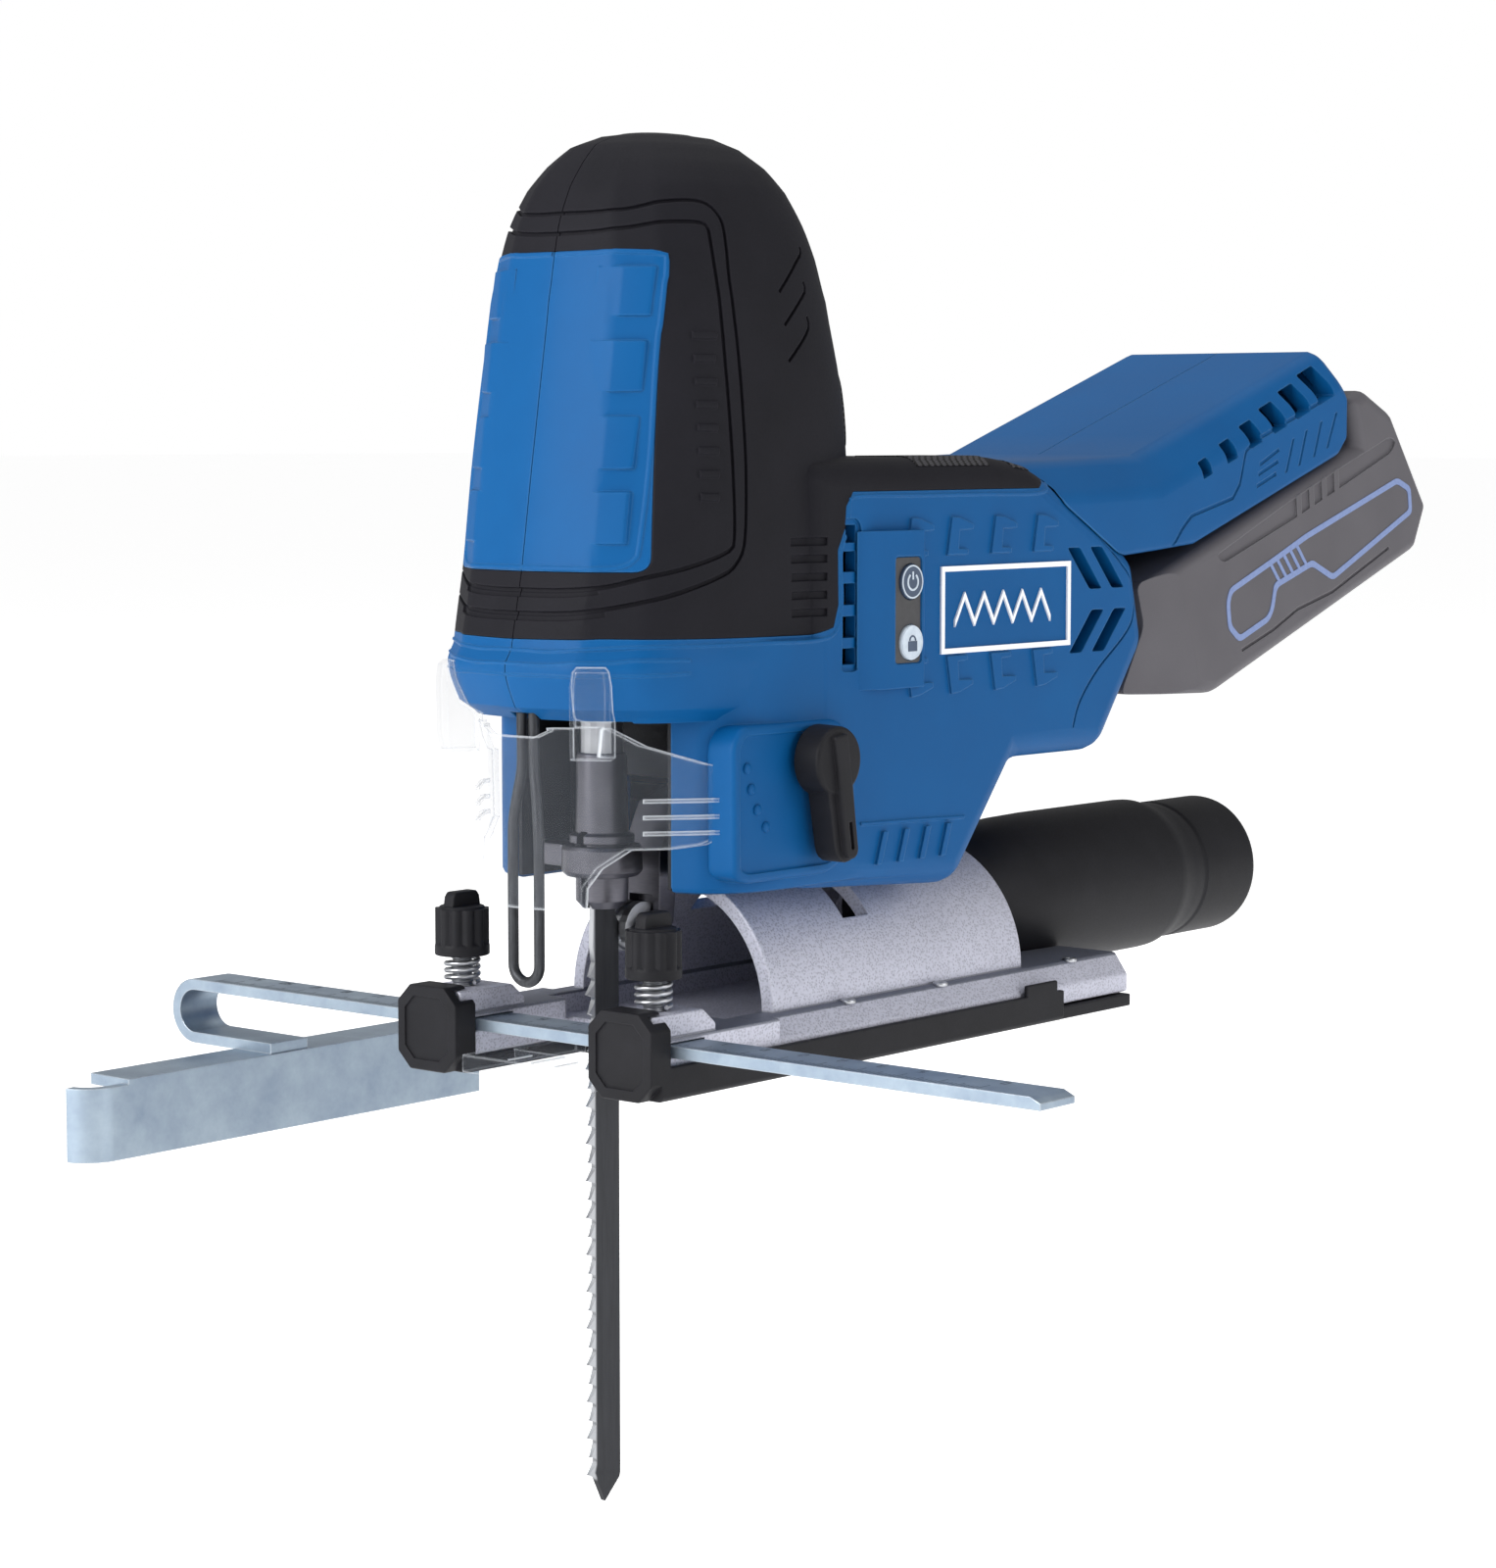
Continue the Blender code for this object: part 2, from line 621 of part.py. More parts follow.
def battery_mount():
    """Sloping foot in two halves that the pack slides under."""
    rings = [foot_ring(100.0, 104.0, 128.6), foot_ring(157.5, 107.6, 130.0),
             foot_ring(172.0, 108.7, 134.8), foot_ring(237.0, 129.5, 156.0),
             foot_ring(241.5, 134.0, 152.5)]
    body = loft("battery_mount", rings)
    inner = [foot_ring(120.0, 107.0, 126.0, 3.0), foot_ring(157.5, 110.8, 127.0, 3.0),
             foot_ring(172.0, 112.8, 131.2, 3.0), foot_ring(234.0, 132.4, 151.8, 3.0)]
    cut(body, barrel(-GAP))
    cut(body, loft("hollow", inner))
    channel = [st(185.6, 40.0), st(290.0, 40.0), st(290.0, 54.0), st(185.6, 54.0)]
    cut(body, prism("channel", channel, "x", -18.4, 18.4))
    for k in range(6):
        s = 206.0 + 11.0 * k
        size = 4.0 + 0.7 * k
        hole = [st(s, 60.5), st(s + size, 60.5), st(s + size, 60.5 + size), st(s, 60.5 + size)]
        cut(body, prism("vent", hole, "x", -45.0, 45.0))
    left = keep(copy_of(body, "battery_mount_left"), half_space(1))
    right = keep(body, half_space(-1))
    right.name = "battery_mount_right"
    finish(left, "blue_plastic", (0.0, 61.0, TILT_Z))
    finish(right, "blue_plastic", (0.0, 61.0, TILT_Z))


def terminal_block():
    """Contacts that the pack's slots slide onto."""
    outline = [st(186.0, 47.6), st(194.6, 47.6), st(194.6, 53.6), st(186.0, 53.6)]
    body = prism("terminal_block", outline, "x", -14.0, 14.0)
    for x in (-8.0, 8.0):
        tab = [st(194.0, 48.6), st(206.0, 48.6), st(206.0, 51.6), st(194.0, 51.6)]
        join(body, prism("tab", tab, "x", x - 0.5, x + 0.5))
    return finish(body, "bronze", (0.0, 61.0, TILT_Z))


def side_fittings():
    """Control bezel, its two buttons and the name plate."""
    face = SIDE + GAP
    bezel = rounded_box("control_panel", (42.0, 62.0), (79.0, 112.0), 2.5, face, face + 2.4)
    cut(bezel, rounded_box("recess", (51.5, 61.2), (85.0, 109.0), 2.0, face + 1.9, face + 4.0))
    buttons = (("power_button", 103.3), ("lock_button", 90.2))
    for name, z in buttons:
        cut(bezel, rod("hole", (56.4, z), 4.1, face - 1.0, face + 5.0, "x", 20))
    finish(bezel, "blue_plastic")
    for name, z in buttons:
        finish(stack(name, (56.4, z), ((face + 1.0, 3.8), (face + 2.2, 3.8), (face + 2.6, 3.3)),
                     "x", 20), "black_plastic", (face + 1.0, 56.4, z))
    finish(rounded_box("nameplate", (71.5, 120.0), (87.7, 105.0), 1.5, face, face + 0.9),
           "white_print")


def wire_guard():
    """Bent wire in front of the blade that keeps fingers clear."""
    path = [(1.6, -22.6, 81.0), (1.6, -22.6, 66.0), (3.5, -23.4, 56.0), (3.7, -23.4, 25.4)]
    loop = [(3.7 * math.cos(t), -23.4, 25.2 - 3.8 * math.sin(t))
            for t in [math.pi * k / 6 for k in range(1, 6)]]
    path += loop
    path += [(-x, y, z) for x, y, z in reversed(path[:4])]
    return finish(wire("wire_guard", path, 1.15, 2), "black_plastic")


COVER = ((0.0, -28.0), (7.0, -27.2), (12.5, -24.4), (17.5, -19.2), (22.5, -13.4), (27.5, -7.4),
         (31.4, -2.6), (33.6, 1.2), (34.0, 24.0))


def cover_form(depth, low, high):
    """Plan outline of the cover, drawn in a little toward the bottom."""
    outline = list(COVER[1:]) + [(-x, y) for x, y in reversed(COVER[1:])] + [COVER[0]]
    rings = []
    for z, trim in ((low, 1.0), (high, 0.0)):
        rings.append([(x, y, z) for x, y in inset(outline, depth + trim)])
    return loft("chip_cover", rings)


def chip_cover():
    """Clear shield round the blade bay, hung from two clips on the chin."""
    body = cover_form(0.0, 37.4, 75.2)
    cut(body, cover_form(1.6, 30.0, 90.0))
    side = ((-20.6, 20.0), (60.0, 20.0), (60.0, 53.5), (1.5, 53.5), (-6.0, 49.6),
            (-14.0, 49.6), (-20.6, 50.4))
    cut(body, prism("trim", side, "x", -60.0, 60.0))
    cut(body, block("open_back", (-60, 60), (1.3, 90.0), (20.0, 95.0)))
    for side in (1, -1):
        start = Vector((side * 16.5, -20.0))
        wide = Vector((math.cos(0.6), side * math.sin(0.6)))
        out = Vector((side * math.sin(0.6), -math.cos(0.6)))
        base = (start + wide * 4.2 + out * 8.6, start - wide * 4.2 + out * 8.6,
                start - wide * 4.2, start + wide * 4.2)
        tab = prism("tab", [tuple(p) for p in base], "z", 70.0, 88.0)
        cut(tab, column(-0.4))
        cut(tab, cover_form(1.4, 30.0, 95.0))
        join(body, tab)
    return finish(body, "clear_plastic", (0.0, -26.0, 60.0))


# ---------------------------------------------------------------- drive

def gear_frame():
    """Cast plate inside the column that carries the gear axle and both guides."""
    outline = ((-22.0, 84.0), (22.0, 84.0), (24.0, 120.0), (20.0, 156.0), (-20.0, 156.0),
               (-24.0, 120.0))
    body = prism("gear_frame", outline, "y", 25.0, 28.0)
    cut(body, rod("shaft_way", (0.0, SHAFT_Z), 4.2, 20.0, 32.0, "y", 16))
    cut(body, rod("axle_way", (0.0, GEAR_Z), 3.3, 20.0, 32.0, "y", 16))
    finish(body, "cast_silver")
    finish(rod("gear_axle", (0.0, GEAR_Z), 3.0, 14.6, 28.0, "y", 16), "bright_steel")
    for name, lo, hi in (("lower_guide", 93.2, 103.0), ("upper_guide", 150.0, 156.4)):
        guide = block(name, (-9.0, 9.0), (-8.0, 7.6 if hi < 110 else 24.7), (lo, hi))
        cut(guide, rod("bore", (0.0, 0.0), PLUNGER_R + GAP, lo - 2, hi + 2, "z", 20))
        finish(guide, "bronze")


def gear_outline(teeth, centre, start):
    pitch = MODULE * teeth / 2
    out = []
    for k in range(teeth):
        for share, reach in ((-0.30, -1.15), (-0.16, 0.85), (0.16, 0.85), (0.30, -1.15)):
            turn = start + 2 * math.pi * (k + share) / teeth
            radius = pitch + MODULE * reach
            out.append((centre[0] + radius * math.cos(turn), centre[1] + radius * math.sin(turn)))
    return out


def drive_gear():
    """Large spur gear with the crank pin and a counterweight."""
    centre = (0.0, GEAR_Z)
    body = prism("drive_gear", gear_outline(GEAR_TEETH, centre, -math.pi / 2), "y", 14.6, 20.4)
    weight = circle(0.0, GEAR_Z, 20.0, 8, 48, 140)
    weight += circle(0.0, GEAR_Z, 9.0, 4, 188, -140)
    join(body, prism("weight", weight, "y", 20.0, 24.0))
    reach = math.sqrt(CRANK ** 2 - REST_DROP ** 2)
    join(body, rod("pin", (reach, GEAR_Z - REST_DROP), 3.4, 12.1, 16.0, "y", 14))
    cut(body, rod("bore", centre, 3.3, 5.0, 30.0, "y", 16))
    return finish(body, "gear_steel", (0.0, 14.6, GEAR_Z))


def rotor():
    """Shaft with its pinion, magnet core and cooling fan."""
    centre = (0.0, SHAFT_Z)
    origin = (0.0, 60.0, SHAFT_Z)
    shaft = stack("rotor_shaft", centre, ((22.0, 2.6), (62.0, 2.6), (62.5, 2.8), (139.0, 2.8)), "y",
                  16)
    outline = gear_outline(PINION_TEETH, centre, math.pi / 2 + math.pi / PINION_TEETH)
    join(shaft, prism("pinion", outline, "y", 14.4, 22.6))
    finish(shaft, "gear_steel", origin)
    finish(washer("rotor_core", centre, 11.6, 3.1, 64.0, 96.0, "y", 20), "cast_silver", origin)
    vanes = []
    for k in range(9):
        for share, radius in ((-0.38, 8.0), (-0.08, 21.0), (0.06, 21.0), (-0.20, 8.0)):
            turn = 2 * math.pi * (k + share) / 9
            vanes.append((radius * math.cos(turn), SHAFT_Z + radius * math.sin(turn)))
    fan = prism("fan", vanes, "y", 106.4, 112.0)
    join(fan, rod("disc", centre, 21.6, 111.6, 113.0, "y", 32))
    cut(fan, rod("bore", centre, 3.1, 105.0, 130.0, "y", 16))
    finish(fan, "black_plastic", origin)


def motor():
    """Laminated stator, its two winding heads, bearings and boards."""
    centre = (0.0, SHAFT_Z)
    finish(washer("stator", centre, 23.5, 12.2, 62.0, 98.0, "y", 32), "gear_steel")
    for name, lo, hi in (("winding_front", 55.0, 61.7), ("winding_rear", 98.3, 105.0)):
        profile = ((lo, 14.5), (lo, 19.5), (lo + 1.5, 21.0), (hi - 1.5, 21.0), (hi, 19.5),
                   (hi, 14.5), (hi - 1.5, 13.0), (lo + 1.5, 13.0))
        finish(ring_body(name, centre, profile, "y", 18), "copper")
    finish(washer("bearing_front", centre, 8.0, 3.1, 30.0, 36.0, "y", 20), "bright_steel")
    finish(washer("bearing_rear", centre, 8.0, 3.1, 131.0, 137.0, "y", 20), "bright_steel")
    finish(block("control_board", (-24.0, 24.0), (101.0, 130.0), (66.6, 68.2)), "board_green")
    finish(block("switch_board", (30.4, 32.0), (46.0, 66.0), (84.0, 110.0)), "board_green")


def plunger_group():
    """Rod near the bottom of its stroke, its slotted yoke, the blade clamp and the blade."""
    origin = (0.0, 0.0, 60.0)
    finish(stack("plunger", (0.0, 0.0), ((63.2, 3.9), (64.0, PLUNGER_R), (157.4, PLUNGER_R),
                                         (158.4, 3.7)), "z", 18), "bright_steel", origin)
    mid = GEAR_Z - REST_DROP
    yoke = block("yoke", (-20.5, 20.5), (-6.6, 11.8), (mid - 7.5, mid + 7.5))
    cut(yoke, block("front", (-30.0, -7.5), (-10.0, 6.0), (90.0, 150.0)))
    cut(yoke, block("front", (7.5, 30.0), (-10.0, 6.0), (90.0, 150.0)))
    cut(yoke, rod("bore", (0.0, 0.0), PLUNGER_R + GAP, 90.0, 150.0, "z", 18))
    cut(yoke, block("slot", (-17.5, 17.5), (7.6, 14.0), (mid - 3.8, mid + 3.8)))
    finish(yoke, "gear_steel", origin)
    clamp = stack("blade_clamp", (0.0, 0.0), ((35.0, 4.6), (36.0, 5.6), (66.0, 6.2), (68.0, 6.2)),
                  "z", 20)
    cut(clamp, block("slit", (-0.95, 0.95), (-9.0, 9.0), (30.0, 51.5)))
    cut(clamp, rod("socket", (0.0, 0.0), PLUNGER_R + GAP, 62.6, 75.0, "z", 18))
    finish(clamp, "bright_steel", origin)
    edge = [(BLADE_BACK, BLADE_TIP + 5.5), (BLADE_BACK, 31.5), (3.4, 33.0), (3.4, 51.0),
            (-3.4, 51.0), (-3.4, 33.0), (-3.6, 27.0)]
    count = 28
    for k in range(count):
        top = 24.0 - PITCH * k
        edge.append((BLADE_FRONT + 1.9, top))
        edge.append((BLADE_FRONT, top - PITCH + 0.7))
    edge.append((BLADE_FRONT + 1.8, 24.0 - PITCH * count))
    edge.append((BLADE_FRONT + 4.6, BLADE_TIP))
    finish(prism("blade", edge, "x", -BLADE_HALF, BLADE_HALF), "blade_steel", origin)
    collar = washer("clamp_collar", (0.0, 0.0), 8.6, 6.4, 43.0, 48.6, "z", 24)
    tab = ((-8.0, -3.6), (-8.0, 3.6), (-15.0, 2.6), (-17.4, 0.0), (-15.0, -2.6))
    join(collar, prism("tab", tab, "z", 43.4, 48.2))
    finish(collar, "bright_steel", (0.0, 0.0, 45.8))


def orbit_group():
    """Selector knob with its cam shaft, and the arm whose roller backs the blade."""
    y, z = 24.4, 67.0
    origin = (38.5, y, z)
    down = Vector((27.7 - y, 45.4 - z)).normalized()
    side = Vector((-down.y, down.x))
    spot = Vector((y, z))
    lever = [spot + side * 4.2, spot - side * 4.2, spot - side * 3.6 + down * 19.0,
             spot - side * 2.2 + down * 21.6, spot + side * 2.2 + down * 21.6,
             spot + side * 3.6 + down * 19.0]
    knob = stack("orbit_knob", (y, z), ((38.6, 7.5), (44.2, 7.3), (45.0, 6.6)), "x", 24)
    join(knob, prism("lever", [tuple(p) for p in lever], "x", 38.9, 46.4))
    cut(knob, rod("socket", (y, z), 3.5, 30.0, 43.0, "x", 16))
    finish(knob, "black_plastic", origin)
    shaft = rod("orbit_shaft", (y, z), 3.2, -6.0, 42.6, "x", 16)
    cut(shaft, block("flat", (-10.0, 6.0), (y - 5.0, y + 5.0), (z - 5.0, z - 1.6)))
    finish(shaft, "gear_steel", origin)
    arm = [(36.0, 53.0), (36.0, 59.0), (31.0, 60.4), (17.6, 56.0), (12.6, 46.0), (12.4, 33.2),
           (9.8, 33.0), (6.6, 30.8), (6.6, 28.6), (9.4, 26.2), (13.6, 26.6), (17.0, 30.5),
           (18.4, 44.0), (22.4, 50.0), (31.6, 52.0)]
    body = prism("orbit_arm", arm, "x", -5.2, 5.2)
    cut(body, block("fork", (-3.4, 3.4), (0.0, 15.6), (20.0, 36.6)))
    cut(body, rod("pivot", (33.0, 56.0), 2.3, -20.0, 20.0, "x", 14))
    cut(body, rod("axle", (9.6, 30.0), 1.5, -20.0, 20.0, "x", 12))
    finish(body, "gear_steel", (0.0, 33.0, 56.0))
    finish(rod("orbit_pin", (33.0, 56.0), 2.0, -32.2, 32.2, "x", 14), "bright_steel")
    finish(rod("roller_pin", (9.6, 30.0), 1.2, -5.2, 5.2, "x", 12), "bright_steel",
           (0.0, 33.0, 56.0))
    profile = ((-3.0, 1.5), (-3.0, 5.5), (-0.95, 5.5), (-0.95, 4.8), (0.95, 4.8), (0.95, 5.5),
               (3.0, 5.5), (3.0, 1.5))
    finish(ring_body("roller", (9.6, 30.0), profile, "x", 22), "bright_steel", (0.0, 9.6, 30.0))


def tilt_clamp():
    """Curved clamp plate inside the dome and the bolt that draws it up."""
    outline = circle(0.0, TILT_Z, DOME_R - DOME_WALL - GAP, 8, 66, 48)
    outline += circle(0.0, TILT_Z, DOME_R - DOME_WALL - 3.4, 8, 114, -48)
    plate = prism("tilt_clamp_plate", outline, "y", SLOT_Y - 14.0, SLOT_Y + 14.0)
    cut(plate, rod("hole", (0.0, SLOT_Y), 3.3, 20.0, 50.0, "z", 16))
    finish(plate, "bright_steel", (0.0, 61.0, TILT_Z))
    bolt = stack("tilt_clamp_bolt", (0.0, SLOT_Y), ((29.4, 5.0), (33.7, 5.0)), "z", 6)
    join(bolt, rod("shank", (0.0, SLOT_Y), 3.0, 33.0, 48.6, "z", 14))
    finish(bolt, "bright_steel", (0.0, 61.0, TILT_Z))


# ---------------------------------------------------------------- battery

PACK = ((176.4, BAT_TOP), (176.4, 34.0), (166.0, 20.5), (196.0, BAT_BOTTOM), (296.0, BAT_BOTTOM),
        (305.0, 18.0), (295.0, 47.0), (284.0, 57.0), (276.6, 57.0), (276.6, BAT_TOP))
PACK_IN = ((179.6, 41.6), (179.6, 33.0), (171.0, 22.0), (197.0, 12.2), (294.6, 12.2),
           (301.0, 18.6), (291.6, 45.4), (284.0, 41.6))


def battery():
    """Slide-in pack: upper case with rail, lower tray, one row of cells and a release."""
    turn = math.radians(TILT_DEG)
    origin = (0.0, *st(176.4, BAT_TOP))
    body = rounded("pack", [st(s, t) for s, t in PACK], 36.0, 3.0, "x", 2)
    rail = [st(203.0, BAT_TOP - 1.0), st(276.8, BAT_TOP - 1.0), st(276.8, 53.4), st(203.0, 53.4)]
    join(body, prism("rail", rail, "x", -17.8, 17.8))
    cut(body, rounded("hollow", [st(s, t) for s, t in PACK_IN], 33.4, 1.0, "x", 1))
    for x in (-8.0, 8.0):
        slot = [st(198.0, 47.6), st(212.0, 47.6), st(212.0, 52.4), st(198.0, 52.4)]
        cut(body, prism("contact_slot", slot, "x", x - 1.0, x + 1.0))
    pocket = [st(282.0, 50.0), st(294.0, 50.0), st(294.0, 64.0), st(282.0, 64.0)]
    cut(body, prism("pocket", pocket, "x", -11.0, 11.0))
    upper = [st(100.0, BAT_SPLIT + GAP / 2), st(350.0, BAT_SPLIT + GAP / 2), st(350.0, 90.0),
             st(100.0, 90.0)]
    lower = [st(100.0, -20.0), st(350.0, -20.0), st(350.0, BAT_SPLIT - GAP / 2),
             st(100.0, BAT_SPLIT - GAP / 2)]
    tray = keep(copy_of(body, "battery_tray"), prism("lower", lower, "x", -60.0, 60.0))
    case = keep(body, prism("upper", upper, "x", -60.0, 60.0))
    case.name = "battery_case"
    finish(case, "pack_grey", origin)
    finish(tray, "pack_grey", origin)
    cells = None
    for k in range(5):
        y, z = st(201.0 + 18.3 * k, 26.8)
        cell = rod("cell_pack", (y, z), 9.25, -32.4, 32.4, "x", 16)
        cells = cell if cells is None else join(cells, cell)
    finish(cells, "cell_green", origin)
    button = [st(282.4, 52.2), st(293.6, 52.2), st(293.6, 56.2), st(291.0, 58.6), st(282.4, 58.6)]
    finish(prism("release_button", button, "x", -10.6, 10.6), "black_plastic",
           (0.0, *st(288.0, 52.2)))


sole_plate()
glide_shoe()
sight_insert()
fence()
knob_set(1, "left")
knob_set(-1, "right")
dust_port()
housing()
grips()
panels()
battery_mount()
terminal_block()
side_fittings()
wire_guard()
chip_cover()
gear_frame()
drive_gear()
rotor()
motor()
plunger_group()
orbit_group()
tilt_clamp()
battery()

for item in list(CUTTERS.objects):
    bpy.data.objects.remove(item, do_unlink=True)
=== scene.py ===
"""Cordless jigsaw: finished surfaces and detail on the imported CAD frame.

Places are in millimetres from the middle of the blade: x to the tool's left, y to the back, z up,
with zero on the underside of the sole.  put() turns them into the frame's metres.
"""
import math

import bmesh
import bpy
from mathutils import Matrix, Vector


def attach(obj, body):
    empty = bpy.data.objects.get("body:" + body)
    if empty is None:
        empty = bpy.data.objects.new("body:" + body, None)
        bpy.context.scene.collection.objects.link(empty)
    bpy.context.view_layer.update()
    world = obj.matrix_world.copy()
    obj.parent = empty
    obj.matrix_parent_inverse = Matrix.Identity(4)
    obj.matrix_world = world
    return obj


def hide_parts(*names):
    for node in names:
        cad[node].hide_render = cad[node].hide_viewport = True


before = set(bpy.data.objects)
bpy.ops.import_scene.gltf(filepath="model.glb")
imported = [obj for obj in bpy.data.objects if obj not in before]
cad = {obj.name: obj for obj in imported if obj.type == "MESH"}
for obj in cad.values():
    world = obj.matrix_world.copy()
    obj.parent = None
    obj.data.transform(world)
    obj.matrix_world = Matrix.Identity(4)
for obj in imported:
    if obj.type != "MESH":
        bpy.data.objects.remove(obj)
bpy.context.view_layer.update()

# ---------------------------------------------------------------- bench, lamps and camera
# A wide pale matt bench under the tool, lit by three large diffusers and a white room.
# The camera stands level with the grip, well to the left and front of the tool.

BENCH_Z = -0.0955
SCENE = bpy.context.scene
SCENE.view_settings.view_transform = "Standard"
SCENE.view_settings.look = "None"


def hang(obj):
    SCENE.collection.objects.link(obj)
    return obj


top = bpy.data.meshes.new("bench")
top.from_pydata([(x, y, BENCH_Z) for x, y in ((-30, -30), (30, -30), (30, 30), (-30, 30))], [],
                [(0, 1, 2, 3)])
bench = hang(bpy.data.objects.new("bench", top))
pale = bpy.data.materials.new("pale_bench")
pale.use_nodes = True
for socket, value in (("Base Color", (0.9, 0.9, 0.9, 1.0)), ("Roughness", 0.9),
                      ("Emission Color", (1.0, 1.0, 1.0, 1.0)), ("Emission Strength", 0.6)):
    pale.node_tree.nodes["Principled BSDF"].inputs[socket].default_value = value
top.materials.append(pale)


def lamp(name, place, aim, size, power):
    """A square diffuser hung at place and turned to aim."""
    light = bpy.data.lights.new(name, "AREA")
    light.shape = "RECTANGLE"
    light.size, light.size_y = size, size
    light.energy = power
    holder = hang(bpy.data.objects.new(name, light))
    holder.location = place
    holder.rotation_euler = (Vector(aim) - Vector(place)).to_track_quat("-Z", "Y").to_euler()


MIDDLE = (0.0, 0.02, 0.07)
lamp("diffuser_front", (-0.35, -1.5, 0.70), MIDDLE, 1.1, 27.0)
lamp("diffuser_top", (-0.10, 0.1, 1.5), MIDDLE, 1.5, 10.0)
lamp("diffuser_left", (1.55, 0.35, 0.50), MIDDLE, 1.0, 8.0)

room = bpy.data.worlds.new("white_room")
room.use_nodes = True
walls = room.node_tree
glow = walls.nodes["Background"]
seen = walls.nodes.new("ShaderNodeBackground")
for tone, strength in ((glow, 0.42), (seen, 1.0)):
    tone.inputs["Color"].default_value = (1.0, 1.0, 1.0, 1.0)
    tone.inputs["Strength"].default_value = strength
ray = walls.nodes.new("ShaderNodeLightPath")
blend = walls.nodes.new("ShaderNodeMixShader")
for start, end in ((ray.outputs["Is Camera Ray"], blend.inputs[0]),
                   (glow.outputs[0], blend.inputs[1]), (seen.outputs[0], blend.inputs[2]),
                   (blend.outputs[0], walls.nodes["World Output"].inputs["Surface"])):
    walls.links.new(start, end)
SCENE.world = room

lens = bpy.data.cameras.new("camera")
lens.lens = 85.257
lens.sensor_width = 36.0
lens.clip_start = 0.05
viewer = hang(bpy.data.objects.new("camera", lens))
viewer.location = (0.5278, -0.6397, 0.1352)
viewer.rotation_euler = (math.radians(84.6), 0.0, math.radians(40.1))
SCENE.camera = viewer

# ---------------------------------------------------------------- sole plate
# Die-cast aluminium, shot-blasted to a fine speckle: a flat plate with two prongs at the front,
# a hollow dome that the housing tilts on, and a sloped flange down each side.


class Val:
    """A number on a socket, so that shader maths reads as plain arithmetic."""

    def __init__(self, finish, socket):
        self.finish, self.socket = finish, socket

    def maths(self, kind, a, b=0.0):
        return self.finish.node("ShaderNodeMath", {"operation": kind}, {0: a, 1: b})

    def __add__(self, other):
        return self.maths("ADD", self, other)

    def __sub__(self, other):
        return self.maths("SUBTRACT", self, other)

    def __rsub__(self, other):
        return self.maths("SUBTRACT", other, self)

    def __mul__(self, other):
        return self.maths("MULTIPLY", self, other)

    def __lt__(self, other):
        return self.maths("LESS_THAN", self, other)

    def __abs__(self):
        return self.maths("ABSOLUTE", self)

    def wave(self):
        return self.maths("SINE", self)

    def over(self, low, high, start=0.0, end=1.0):
        """start below low, end above high, and a soft slope between them."""
        return self.finish.node("ShaderNodeMapRange", {"interpolation_type": "SMOOTHSTEP"},
                                {"Value": self, "From Min": low, "From Max": high,
                                 "To Min": start, "To Max": end})

    __radd__ = __add__
    __rmul__ = __mul__


def tint(red, green, blue):
    """Shop colour, 0 to 255, as the linear colour that a shader takes."""
    return tuple(((c / 255 + 0.055) / 1.055) ** 2.4 if c > 10 else c / 255 / 12.92
                 for c in (red, green, blue)) + (1.0,)


